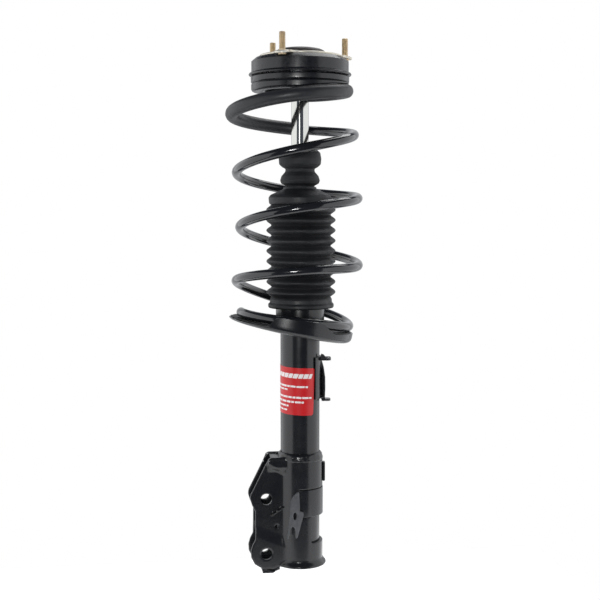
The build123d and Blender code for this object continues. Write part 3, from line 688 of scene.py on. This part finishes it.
def wire_line(first, last, per_quarter=14):
    """Centre line of the wire between two quarter-turn counts, as points in millimetres.

    Each value v(q) is the Hermite cubic through the stations, whose slope at a station is the slope
    of the chord between its two neighbours.
    """
    q = np.linspace(first, last, int(abs(first - last) * per_quarter) + 1)
    known = STATIONS[:, 0]
    k = np.clip(np.searchsorted(known, q) - 1, 1, len(known) - 3)
    t = (q - known[k]) / (known[k + 1] - known[k])
    values = []
    for column in (1, 2):
        v = STATIONS[:, column]
        slope = np.gradient(v, known)
        m0, m1 = slope[k] * (known[k + 1] - known[k]), slope[k + 1] * (known[k + 1] - known[k])
        values.append(v[k] * (2 * t ** 3 - 3 * t ** 2 + 1) + m0 * (t ** 3 - 2 * t ** 2 + t)
                      + v[k + 1] * (3 * t ** 2 - 2 * t ** 3) + m1 * (t ** 3 - t ** 2))
    a = np.radians(SIDE_ANGLE + 90 * q)
    return about_axis(values[0], a, values[1])


def frame_along(line):
    """Tangent, side and up at each point: side is tangent x Z, up is side x tangent."""
    tangent = np.gradient(line, axis=0)
    tangent /= np.linalg.norm(tangent, axis=1)[:, None]
    side = np.cross(tangent, [0, 0, 1.0])
    side /= np.linalg.norm(side, axis=1)[:, None]
    return tangent, side, np.cross(side, tangent)


def bar(line, radius, around=28, nose=1.0):
    """Round bar along a line with rounded ends, and the line's index for each ring.

    A ring is centre + r * (cos b * side + sin b * up). At each end c runs from 0 to 90 degrees, the
    centre is nose * (1 - cos c) from the end, and r is radius - nose + nose * sin c.
    """
    tangent, side, up = frame_along(line)
    c = np.radians([0, 30, 60, 90])
    inset, thin = nose * (1 - np.cos(c)), radius - nose + nose * np.sin(c)
    middle = np.arange(1, len(line) - 1)
    pick = np.concatenate([np.zeros(4, int), middle, np.full(4, len(line) - 1)])
    push = np.concatenate([inset, np.zeros(len(middle)), -inset[::-1]])
    r = np.concatenate([thin, np.full(len(middle), radius), thin[::-1]])
    b = np.linspace(0, 2 * math.pi, around, endpoint=False)[None, :, None]
    ring = np.cos(b) * side[pick][:, None] + np.sin(b) * up[pick][:, None]
    grid = (line[pick] + push[:, None] * tangent[pick])[:, None] + r[:, None, None] * ring
    faces = quads(len(pick), around, wrap_columns=True).tolist()
    faces += end_caps(len(pick), around)
    return to_frame(grid), faces, pick


wire_steps = np.diff(wire_line(WIRE_START, WIRE_END), axis=0)
print("wire length", round(np.linalg.norm(wire_steps, axis=1).sum()), "mm")

# %% [markdown]
# ## Spring and sleeve
#
# When the strut is pushed in, a coil spring shortens evenly along its wire while the wire stays round.
# Here both pieces are drawn at rest and left unattached, with their transform baked into the mesh.


def follow_stroke(piece):
    """Bake the piece's transform into its mesh."""
    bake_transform(piece)


def wound(name, first, last, radius, nose, slot, material, node, around=28):
    """A round bar on the wire's line, from one quarter-turn count to another."""
    line = wire_line(first, last)
    grid, faces, pick = bar(line, radius, around, nose)
    piece = make_piece(name, grid, faces, None, slot, material, [node])
    follow_stroke(piece)


wound("coil_spring_wire", WIRE_START, WIRE_END, 5.98, 1.0, "spring_paint", powder, "coil_spring")
wound("spring_sleeve_tube", 0.95, -2.98, 8.48, 1.6, "rubber_black", sleeve_plastic, "spring_sleeve")

# %% [markdown]
# ## Dust boot
#
# The boot is blown rubber with nine folds. Its half section is a wave: the radius is
# valley + depth * (0.5 + 0.5 cos)^p, and p under 1 gives round crests and tighter valleys, as on
# the real thing. The inner wall is the same wave moved in by the wall's thickness. The folds hang
# just over a millimetre off the rod's axis, as a loose boot does.

# %% Boot
FOLDS, PITCH, FIRST_CREST = 9, 13.0, 358.9
VALLEY, CREST, WALL, POWER = 37.5, 43.9, 1.9, 0.75
OFF_AXIS = 1.2  # mm


def boot_wave(h):
    """Radius of the folds at height h."""
    turns = (h - FIRST_CREST) / PITCH
    return VALLEY + (CREST - VALLEY) * (0.5 + 0.5 * np.cos(2 * math.pi * turns)) ** POWER


wave_h = np.linspace(FIRST_CREST - 6.3, FIRST_CREST + (FOLDS - 1) * PITCH + 6.3, FOLDS * 14 + 1)
outer_wave = np.stack([boot_wave(wave_h), wave_h], axis=1)
inner_wave = np.stack([boot_wave(wave_h) - WALL, wave_h], axis=1)[::-1]
foot = rounded([
    (36.4, 346, 0), (34.8, 343, 1.5), (34.8, 339, 0.8), (40.8, 339, 1), (41.7, 340.4, 0.8),
    (41.7, 343.4, 1), (39.6, 345.8, 1.6), (39.2, 350, 2), (38, 352.2, 0)], closed=False)
crown = rounded([
    (36.9, 468.9, 0), (39.4, 470.2, 1.2), (40, 472, 1.2), (40, 478.2, 2.4), (37.4, 481.6, 2),
    (27.4, 486.2, 3), (21, 489, 2), (20.4, 491.6, 0.8), (18.5, 491.6, 0.6), (18.6, 488.4, 1.5),
    (24.6, 484.4, 2), (36, 479, 2), (37.7, 477.2, 1.5), (37.7, 472.4, 1.5), (35, 469.4, 0)], closed=False)
boot_section = np.concatenate([foot, outer_wave, crown, inner_wave])
points, faces = lathe(boot_section, True, 144)
points[:, 0] += OFF_AXIS * MM * (1 - ease(points[:, 2] / MM + PLATE_TOP, 462, 484))
boot = make_piece("dust_boot_moulded", points, faces, "jounce_stop", "rubber_black", rubber, ["dust_boot"])
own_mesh(boot)

# %% [markdown]
# ## Bump stop
#
# The bump stop is foam with two bulges and waists between them, so that it crushes like a concertina.
# Its section is drawn with wide radii. On the car it flattens towards the tube's cap as the strut is pushed
# in; here it keeps its drawn shape.

# %% Bump stop
stop = turned("bump_stop_foam", [
    (11.35, 445.4, 0.8), (22, 445.4, 2), (24, 449, 2), (24, 458, 3.5), (19, 463, 3), (19, 470, 3),
    (23, 475, 3), (22.6, 481, 2), (18.3, 486, 3), (18.3, 493, 1.6), (23.6, 495.6, 3.4),
    (25.2, 499.6, 3.2), (23.4, 505.2, 4), (18.8, 510.4, 2.6), (18.2, 514, 2.2), (22.6, 516.4, 3),
    (26.3, 519.8, 3.6), (26.9, 527, 4), (25.6, 534.4, 3.2), (21.4, 538, 2.2), (11.35, 538, 0.8)],
    "jounce_stop", "foam_black", foam, ["bump_stop"], steps=7)
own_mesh(stop)

# %% [markdown]
# ## Rod
#
# The rod is ground and chromed; only its top thread and foot are cut. A mirror needs a clean round
# surface, so it is turned with many segments and no facets.

# %% Rod
turned("piston_rod_chromed", [
    (0, 243, 0), (4.2, 243, 0.3), (5, 244, 0.3), (5, 258, 0.2), (10, 258, 0.4), (11, 259, 0.4),
    (11, 627, 0.4), (10, 628, 0.4), (7, 628, 0.2), (7, 660.5, 0.4), (6, 661.5, 0.3), (0, 661.5, 0)],
    "top_mount", "chrome_rod", chrome, ["piston_rod"], closed=False, segments=160)

# %% [markdown]
# ## Lower spring seat
#
# The seat is a pressed bowl that leans with the spring. Its floor leans 12 degrees and its rim only 8,
# so the wall is low on one side and deep on the other, and a lip stands up at the front. For each
# direction round the seat the section is: a straight floor from the tube to the corner, an arc of
# 7 mm, and a wall up to the rim plane. The inner skin is the same line set in by the sheet.

# %% Seat surface
SEAT_X, SEAT_R, SEAT_BORE, CORNER, SEAT_SHEET = -14.2, 80.2, 24.9, 7.0, 2.5
FLOOR_TILT, RIM_TILT = math.radians(12.0), math.radians(8.0)
RIM_HEIGHT, FLOOR_HEIGHT, LIP = 317.3, 309.7, 12.8


def seat_to_strut(across, along, up):
    """Seat coordinates (leaning by the floor's tilt) -> strut coordinates."""
    x = SEAT_X + across * math.cos(FLOOR_TILT) + up * math.sin(FLOOR_TILT)
    z = FLOOR_HEIGHT - across * math.sin(FLOOR_TILT) + up * math.cos(FLOOR_TILT)
    return np.stack([x, along + 0 * x, z], axis=-1)


def rim_rise(angle, radius):
    """Height of the rim above the floor's underside, with the raised lip at the front."""
    lean = math.tan(FLOOR_TILT - RIM_TILT)
    x = SEAT_X + radius * np.cos(angle)
    front = (np.sin(angle) < 0) * ease(x, -54, -40) * (1 - ease(x, 10, 36))
    return RIM_HEIGHT - FLOOR_HEIGHT + lean * radius * np.cos(angle) + LIP * front


def seat_skin(inset, angle, floor_steps=10, arc_steps=8, wall_steps=6):
    """One skin of the bowl: floor, corner arc and wall, set in by inset from the outer face."""
    radius, corner = SEAT_R - inset, CORNER - inset
    top = rim_rise(angle, SEAT_R)
    reach = np.clip(top - inset, 0.3, corner)
    last = np.arccos(1 - reach / corner)
    hub_x = -SEAT_X / math.cos(FLOOR_TILT)
    inner_x = hub_x + SEAT_BORE / math.cos(FLOOR_TILT) * np.cos(angle)
    inner_y = SEAT_BORE * np.sin(angle)
    outer_x, outer_y = (radius - corner) * np.cos(angle), (radius - corner) * np.sin(angle)
    s = np.linspace(0, 1, floor_steps)[:, None]
    floor = seat_to_strut(inner_x + (outer_x - inner_x) * s, inner_y + (outer_y - inner_y) * s,
                          inset + 0 * s * angle)
    c = np.linspace(0, 1, arc_steps)[1:, None] * last
    ring = radius - corner + corner * np.sin(c)
    arc = seat_to_strut(ring * np.cos(angle), ring * np.sin(angle), inset + corner * (1 - np.cos(c)))
    w = np.linspace(0, 1, wall_steps)[1:, None]
    start = inset + corner * (1 - np.cos(last))
    level = start + w * np.maximum(top - start, 0.05)
    ring = radius - corner + corner * np.sin(last) + 0 * w
    wall = seat_to_strut(ring * np.cos(angle), ring * np.sin(angle), level)
    return np.concatenate([floor, arc, wall])


SEAT_AROUND = 180
around_seat = np.radians(np.linspace(0, 360, SEAT_AROUND, endpoint=False))
outer_skin = seat_skin(0.0, around_seat)
inner_skin = seat_skin(SEAT_SHEET, around_seat)[::-1]
edge = (outer_skin[-1] + inner_skin[0]) / 2 + np.array([0, 0, 0.6])
seat_grid = np.concatenate([outer_skin, edge[None], inner_skin])
make_piece("spring_seat_bowl", to_frame(seat_grid), quads(len(seat_grid), SEAT_AROUND, True, True),
           *PAINTED, ["spring_seat_lower"])

# %% Collar, seat weld and lower insulator
turned("seat_collar_turned", [
    (25, 318, 0.5), (30.8, 312, 0.5), (30.8, 350, 1.2), (25, 350, 0.5)],
    *PAINTED, ["seat_collar"])
weld_points, weld_faces = weld_ring(
    25.6, 306.5, 2.0, rise=lambda a: -25.0 * math.tan(FLOOR_TILT) * np.cos(a))
make_piece("seat_weld_bead", weld_points, weld_faces, *PAINTED)
dress(softened("spring_pad_lower", "lower_insulator_moulded", 1.1, 5),
      "damper_body", "rubber_black", rubber, ["spring_pad_lower"])

# %% [markdown]
# ## Upper seat, insulator and bearing
#
# The upper seat is a moulded disc with a skirt that hides the bearing. Under it lies the rubber
# insulator, cut away where the sleeved end of the spring fits. A blank oblong is sunk in its face.

# %% Upper seat and insulator
turned("spring_seat_upper_moulded", [
    (16, 620.2, 0.4), (44.4, 620.2, 0.4), (44.4, 610.8, 0.6), (47, 610.4, 0.8), (47, 620.2, 0.2),
    (60.4, 620.2, 0.6), (61.6, 621.6, 1.2), (61.7, 627.6, 1.4), (60.2, 629, 0.8), (59, 629, 0.4),
    (59, 622.4, 0.4), (16, 622.4, 0.4)],
    "top_seat", "mount_black", mount_black, ["spring_seat_upper"], segments=160)


OBLONG_ANGLE, OBLONG_HEIGHT, FACE_R = -84.2, 616.6, 61.0
OBLONG_HALF_WIDTH, OBLONG_HALF_TALL, OBLONG_CORNER = 11.2, 2.5, 1.2
OBLONG_DEPTH, OBLONG_RIDGE = 1.2, 0.35


def upper_insulator():
    """Ring of rubber whose underside rises over the sleeved wire and whose face holds a sunk oblong.

    The ring is thinned in proportion: z = top - (top - z) * left, where left is the share of its
    thickness that clears the sleeve. outside is the distance from the oblong's outline, negative
    within it: inside it the face is sunk, and just outside it a low ridge runs round.
    """
    top, count = 620.2, 480
    section = rounded([
        (47, top, 0.2), (47, 612.5, 0.8), (53, 610, 1.5), (58.6, 609.9, 2), (60.4, 611, 1.6),
        (61.3, 613, 1.2), (61.3, 618.4, 1), (60.4, top, 0.6)], steps=4)
    rows = []
    for k in range(len(section)):
        ahead = section[(k + 1) % len(section)]
        steps = max(1, int(np.linalg.norm(ahead - section[k]) / 0.7))
        rows.append(section[k] + (ahead - section[k]) * (np.arange(steps) / steps)[:, None])
    section = np.concatenate(rows)
    angle = np.linspace(0, 360, count, endpoint=False)
    line = wire_line(1.0, -2.0, 60)
    q = np.linspace(1.0, -2.0, len(line))
    here = ((angle - SIDE_ANGLE) / 90 + 2.0) % 4.0 - 2.0
    crown = np.interp(here, q[::-1], line[::-1, 2] + 8.9)
    crown = np.where((here > -1.4) & (here < 1.02), crown, 600.0)
    left = np.clip((top - crown) / 10.3, 0.07, 1.0)
    a = np.radians(angle)[None, :]
    r, z = section[:, 0][:, None] + 0 * a, section[:, 1][:, None] + 0 * a
    across = np.abs((angle[None, :] - OBLONG_ANGLE) * math.pi / 180 * FACE_R + 0 * r) - OBLONG_HALF_WIDTH
    upright = np.abs(z - OBLONG_HEIGHT) - OBLONG_HALF_TALL
    outside = np.hypot(np.maximum(across + OBLONG_CORNER, 0),
                       np.maximum(upright + OBLONG_CORNER, 0)) - OBLONG_CORNER
    sunk = OBLONG_DEPTH * (1 - ease(outside, -0.5, 0.1))
    ridge = OBLONG_RIDGE * np.exp(-((outside - 0.7) / 0.5) ** 2)
    r = r - ease(r, 59.5, 60.8) * (sunk - ridge)
    z = top - (top - z) * left[None, :]
    return to_frame(about_axis(r, a, z)), quads(len(section), count, True, True)


points, faces = upper_insulator()
make_piece("upper_insulator_moulded", points, faces,
           "top_seat", "rubber_black", mount_black, ["spring_pad_upper"])
turned("bearing_seal_lip", [
    (54.6, 622.4, 0.3), (57.6, 622.4, 0.3), (57.6, 625, 0.5), (56.6, 629.4, 0.3), (55.4, 629.4, 0.3),
    (54.6, 625, 0.5)],
    "top_seat", "rubber_black", rubber, ["bearing_seal"])

# %% [markdown]
# ## Mount shell, rubber and dust cap
#
# The shell is the black drum under the plate, with a thin flange round its foot and a bevelled
# shoulder. The rubber bonded inside carries the rod's core. The cap is a shallow dome.

# %% Shell, rubber, cap
turned("mount_shell_drum", [
    (57, 630, 0.3), (63.6, 629.5, 1.2), (64.5, 631, 1.2), (63.6, 632.6, 1.2), (61.4, 633, 0.5),
    (61, 634, 0.6), (61, 647, 0.5), (55.4, 651.7, 0.7), (53.6, 652, 0.5), (29, 652, 0.4),
    (29, 649.6, 0.4), (52.6, 649.6, 1), (56.5, 647, 1), (58.6, 643.5, 1), (58.6, 632.8, 0.5),
    (57, 632, 0.3)],
    "top_mount", "mount_black", mount_black, ["mount_shell"], segments=160)
turned("mount_rubber_bonded", [
    (14, 633, 0.6), (20, 633, 1.5), (24, 631.5, 1.5), (36, 631.5, 1.5), (40, 630, 0.8), (57, 630, 0.5),
    (57, 632, 0.3), (58.5, 632.8, 0.5), (58.5, 643.4, 1), (56.4, 645, 1), (51, 645, 2), (48, 649.5, 1),
    (29, 649.5, 1.5), (24.5, 646, 1.5), (14, 646, 0.6)],
    "top_mount", "rubber_black", rubber, ["mount_rubber"])
turned("dust_cap_dome", [
    (29, 655, 0.2), (33, 655, 0.3), (32.8, 657, 1.2), (30.8, 660.2, 2.2), (27, 662.2, 2.4),
    (21.4, 663.4, 3), (12, 663.9, 3), (0, 664, 0), (0, 662.2, 0), (16, 661.8, 1), (22, 661.4, 1.5),
    (26, 659.8, 1.5), (28.6, 657.6, 1)],
    "top_mount", "mount_black", cap_brown, ["dust_cap"], segments=128)

# %% [markdown]
# ## Mount plate
#
# The plate is a three-cornered pressing. Its outline is a circle of 51 mm joined to the straight-sided
# triangle round the studs; the two are blended with a soft maximum, ln(sum of exp(k r)) / k, which
# rounds the inner corners. The section between the hole and the outline has rounded edges, and the
# corners are turned down a little.

# %% Plate surface
STUD_CIRCLE, STUD_PAD, PLATE_ROUND, PLATE_HOLE = 57.0, 9.0, 51.0, 29.0
SHARPNESS = 0.9  # k of the soft maximum


def plate_outline(angle):
    """Radius of the plate's edge at each angle."""
    off = np.abs((angle + math.pi / 3) % (2 * math.pi / 3) - math.pi / 3)
    flank = (STUD_CIRCLE / 2 + STUD_PAD) / np.cos(math.pi / 3 - off)
    half_chord = np.sqrt(np.maximum(STUD_PAD ** 2 - (STUD_CIRCLE * np.sin(off)) ** 2, 0))
    tip = STUD_CIRCLE * np.cos(off) + half_chord
    horn = np.where(off < math.asin(STUD_PAD / STUD_CIRCLE), np.minimum(tip, flank), flank)
    return np.log(np.exp(SHARPNESS * horn) + np.exp(SHARPNESS * PLATE_ROUND)) / SHARPNESS


PLATE_AROUND = 240
plate_angle = np.radians(np.linspace(0, 360, PLATE_AROUND, endpoint=False))
edge_r = np.minimum(plate_outline(plate_angle), 65.9)
share = np.concatenate([np.linspace(0, 1, 9), np.ones(4), np.linspace(1, 0, 9), np.zeros(2)])
inset = np.concatenate([[0.5], np.zeros(7), [-0.9], [-0.35, 0, 0, -0.35], [-0.9], np.zeros(7), [0.5], [0, 0]])
level = np.concatenate([np.full(9, 655.0), [654.75, 654.2, 652.8, 652.25], np.full(9, 652.0), [652.5, 654.5]])
plate_r = PLATE_HOLE + share[:, None] * (edge_r - PLATE_HOLE)[None, :] + inset[:, None]
droop = 1.3 * ease(plate_r, 58.5, 65.0)
plate_grid = about_axis(plate_r, plate_angle, level[:, None] - droop)
make_piece("mount_plate_pressed", to_frame(plate_grid), quads(len(plate_grid), PLATE_AROUND, True, True),
           "top_mount", "yellow_zinc", pale_zinc, ["mount_plate"])

# %% [markdown]
# ## Studs with real threads
#
# A rolled M8 thread has a pitch of 1.25 mm and is about 0.65 mm deep. Along the stud the radius is
# 4 - depth * saw, where saw is the distance from the nearest crest as a share of the pitch, and the
# crest climbs one pitch each turn. Near the tip and the root the thread runs out to the plain shank.

# %% Studs
THREAD_PITCH, THREAD_DEPTH, AROUND_STUD, SHANK_RINGS = 1.25, 0.62, 40, 132


def stud_points(centre_x, centre_y):
    """Rings of one stud: flat head, plain root, thread and chamfered tip."""
    shank = np.linspace(655.6, 676.2, SHANK_RINGS)
    h = np.concatenate([[649.6, 649.6, 650.0, 651.6, 652.0, 652.05], shank, [676.6, 677.0]])
    r = np.concatenate([[4.5, 4.8, 5.0, 5.0, 4.9, 4.3], np.full(SHANK_RINGS, 4.0), [3.6, 3.2]])
    a = np.linspace(0, 2 * math.pi, AROUND_STUD, endpoint=False)
    phase = h[:, None] / THREAD_PITCH - a[None, :] / (2 * math.pi)
    saw = 2 * np.abs(phase - np.round(phase))
    cut = (ease(h, 656.0, 657.5) * (1 - 0.5 * ease(h, 675.4, 676.6)))[:, None] * THREAD_DEPTH
    radius = r[:, None] - cut * (1 - np.clip(1.15 * saw, 0, 1)) * (h[:, None] > 655.5)
    return about_axis(radius, a, h[:, None]) + np.array([centre_x, centre_y, 0])


stud_grids, stud_faces = [], []
for k in range(3):
    turn = 2 * math.pi * k / 3
    grid = stud_points(STUD_CIRCLE * math.cos(turn), STUD_CIRCLE * math.sin(turn))
    base = k * grid.shape[0] * AROUND_STUD
    stud_faces += quads(grid.shape[0], AROUND_STUD, wrap_columns=True, offset=base).tolist()
    stud_faces += end_caps(grid.shape[0], AROUND_STUD, base)
    stud_grids.append(to_frame(grid))
make_piece("mount_studs_threaded", np.concatenate(stud_grids), stud_faces,
           "top_mount", "yellow_zinc", zinc, ["mount_studs"])

# %% [markdown]
# ## Label
#
# The label is a thin patch bent round the tube, with rounded corners, stuck on slightly askew. A point
# of it is (distance round the tube, height). Near the top and bottom edge each row is shortened by
# c - sqrt(c^2 - d^2), which cuts the rounded corners. The print is rows of plain blocks: no words.

# %% Label and print
LABEL_R, SKEW = 25.0, 0.045
PIVOT_ALONG, PIVOT_HEIGHT = -30.0, 235.0  # the point about which the label is askew


def patch(left, right, low, high, corner, lift, columns=60, rows=24, lean=0.0):
    """Closed thin patch on the tube between two distances round it and two heights.

    The whole label is stuck on askew: heights fall by SKEW per millimetre round the tube and the
    sides lean by the same angle. lean slants a patch's own sides, as in italic print.
    """
    v = np.linspace(0, 1, rows)
    v = low + (high - low) * (0.5 - 0.5 * np.cos(np.pi * v))
    d = np.clip(corner - np.minimum(v - low, high - v), 0, corner)
    cut = corner - np.sqrt(np.maximum(corner ** 2 - d ** 2, 0))
    u = np.linspace(0, 1, columns)[None, :]
    along = (left + cut)[:, None] + u * (right - left - 2 * cut)[:, None] + lean * (v - low)[:, None]
    height = v[:, None] - SKEW * (along - PIVOT_ALONG)
    along = along + SKEW * (v - PIVOT_HEIGHT)[:, None]
    sides = []
    a = np.radians(SIDE_ANGLE - 90.0) + along / LABEL_R
    for r in (LABEL_R + lift, LABEL_R + 0.02):
        sides.append(about_axis(r, a, height))
    size = rows * columns
    faces = quads(rows, columns).tolist() + quads(rows, columns, offset=size)[:, ::-1].tolist()
    rim = np.concatenate([np.arange(columns), np.arange(1, rows) * columns + columns - 1,
                          (rows - 1) * columns + np.arange(columns - 2, -1, -1),
                          np.arange(rows - 2, 0, -1) * columns])
    nxt = np.roll(rim, -1)
    faces += np.stack([rim, rim + size, nxt + size, nxt], axis=1).tolist()
    return to_frame(np.stack(sides)).reshape(-1, 3), faces


points, faces = patch(-52.0, 19.3, 205.6, 265.6, 3.0, 0.28, columns=90)
label = make_piece("label_vinyl", points, faces, "damper_body", "label_red", vinyl, ["label"])
label.visible_glossy = False  # the seat's underside would mirror it as a red line

# Each printed row: end, low, high, slant and the widths of its blocks, which repeat.
PRINT_START, GAP = -37.0, 0.9  # where each row begins, and the gap between two blocks
ROWS = [
    (14.0, 252.4, 258.2, 0.35, (6.2, 5.4, 6.0, 5.2)), (10.0, 240.6, 243.0, 0.0, (7.0, 10.5, 4.0)),
    (-15.0, 236.4, 238.4, 0.0, (5.0, 8.0)), (15.5, 226.8, 229.2, 0.0, (4.0, 6.5, 8.5, 5.0)),
    (5.5, 221.0, 223.4, 0.0, (5.5, 4.0, 7.5)), (-14.5, 215.6, 217.8, 0.0, (6.0, 4.5)),
    (-16.5, 210.4, 212.4, 0.0, (8.0, 5.0))]
all_points, all_faces, used = [], [], 0
for end, low, high, slant, widths in ROWS:
    here, turn = PRINT_START, 0
    while here < end - 1.5:
        stop_at = min(here + widths[turn % len(widths)], end)
        points, faces = patch(here, stop_at, low, high, 0.4, 0.33, columns=10, rows=6, lean=slant)
        all_points.append(points)
        all_faces += [[i + used for i in face] for face in faces]
        used += len(points)
        here, turn = stop_at + GAP, turn + 1
make_piece("label_print_bars", np.concatenate(all_points), all_faces, "damper_body", "label_red", white_print)

# %% [markdown]
# ## Pieces that stay as the CAD has them
#
# The valve, piston, bearing races and nuts are exact turned or milled shapes that are hidden or nearly
# so. Their CAD meshes stay; each only gets its finish.

# %% Finishes of the CAD pieces
KEPT = {
    steel: ["pressure_tube", "base_valve_discs", "base_valve_rivet", "tube_top_cap", "rebound_collar",
            "piston_shims", "piston_nut", "mount_core", "rod_washer", "rod_nut"],
    sintered: ["base_valve", "rod_guide", "piston"],
    nylon: ["rebound_bumper", "piston_band", "bearing_cage"],
    bronze: ["guide_bush"],
    rubber: ["rod_seal"],
    ball_steel: ["bearing_lower_race", "bearing_upper_race", "bearing_balls"],
}
for material, names in KEPT.items():
    for name in names:
        for holder in nodes[name].material_slots:
            holder.material = material
print("CAD pieces finished:", sum(len(names) for names in KEPT.values()))

# %% [markdown]
# ## Floor, light and camera
#
# A product shot on white: a pale floor and ground, and big soft panels left, right, behind and above.
# The front is left darker, which is what gives black gloss its dark middle and its grey sides. Two
# small lights stand there all the same: a bright strip that puts a crisp glint on each coil, and a
# taller, weaker one that the chromed rod shows as a white line.

# %% Floor and ground
FLOOR_Z, FLOOR_HALF = -0.80, 0.5
corners = np.array([(-1, -1), (1, -1), (1, 1), (-1, 1)]) * FLOOR_HALF
floor_mesh = mesh_from("studio_floor", np.column_stack([corners, np.full(4, FLOOR_Z)]), [(0, 1, 2, 3)])
floor = put_in_scene("studio_floor", floor_mesh)
paper, tree, shader = finish("lit_white_acrylic", "#f6f6f6", 0.7)
shader.inputs["Emission Color"].default_value = (1, 1, 1, 1)
shader.inputs["Emission Strength"].default_value = 0.7
floor_mesh.materials.append(paper)

world = bpy.data.worlds.new("pale_studio")
bpy.context.scene.world = world
world.use_nodes = True
sky = world.node_tree
ground = sky.nodes["Background"]
ground.inputs["Color"].default_value = (0.075, 0.085, 0.105, 1)
seen = add(sky, "ShaderNodeBackground", {"Color": (1, 1, 1, 1), "Strength": 1.0})
path = add(sky, "ShaderNodeLightPath")
mix = add(sky, "ShaderNodeMixShader", links={0: (path, "Is Camera Ray"), 1: (ground, 0), 2: (seen, 0)})
sky.links.new(mix.outputs[0], sky.nodes["World Output"].inputs["Surface"])

# %% Camera and lights
VIEW_AZ = -8.0
right = np.array([math.cos(math.radians(VIEW_AZ)), math.sin(math.radians(VIEW_AZ)), 0])
away = np.array([-right[1], right[0], 0])
DISTANCE, CAMERA_HEIGHT, TILT = 1.446, 469.0, 4.77
MIDDLE = -0.33  # height of the strut's middle in the frame, in metres

camera_data = bpy.data.cameras.new("camera")
camera_data.lens, camera_data.sensor_width = 68.4, 36.0  # mm
camera = put_in_scene("camera", camera_data)
camera.location = (*(-away[:2] * DISTANCE), (CAMERA_HEIGHT - PLATE_TOP) * MM)
camera.rotation_euler = (math.radians(90 - TILT), 0, math.radians(VIEW_AZ))
bpy.context.scene.camera = camera
bpy.context.scene.view_settings.view_transform = "Standard"


def panel(name, azimuth, distance, height, width, tall, radiance):
    """Soft panel round the strut: azimuth 0 is the camera's side, positive to the right.

    A panel of area A that sends out P watts has radiance P / (pi A), so P = radiance * pi * A.
    """
    data = bpy.data.lights.new(name, "AREA")
    data.shape, data.size, data.size_y = "RECTANGLE", width, tall
    data.energy = radiance * math.pi * width * tall
    lamp = put_in_scene(name, data)
    a = math.radians(azimuth)
    spot = (-away * math.cos(a) + right * math.sin(a)) * distance
    lamp.location = (spot[0], spot[1], height)
    aim = np.array([0, 0, MIDDLE]) - np.array(lamp.location)
    level = math.hypot(aim[0], aim[1])
    lamp.rotation_euler = (math.atan2(level, -aim[2]), 0, math.atan2(aim[1], aim[0]) - math.pi / 2)
    lamp.visible_camera = False


panel("left_panel", -92, 1.4, MIDDLE, 3.2, 2.4, 1.12)
panel("right_panel", 92, 1.4, MIDDLE, 3.2, 2.4, 1.05)
panel("back_panel", 180, 1.6, MIDDLE, 2.6, 2.4, 0.52)
panel("top_panel", 150, 0.7, 1.0, 1.0, 1.0, 2.6)
panel("front_strip", -7.5, 1.7, -0.12, 0.30, 0.12, 70.0)
panel("front_tall", -6, 1.7, 0.14, 0.26, 0.42, 2.6)
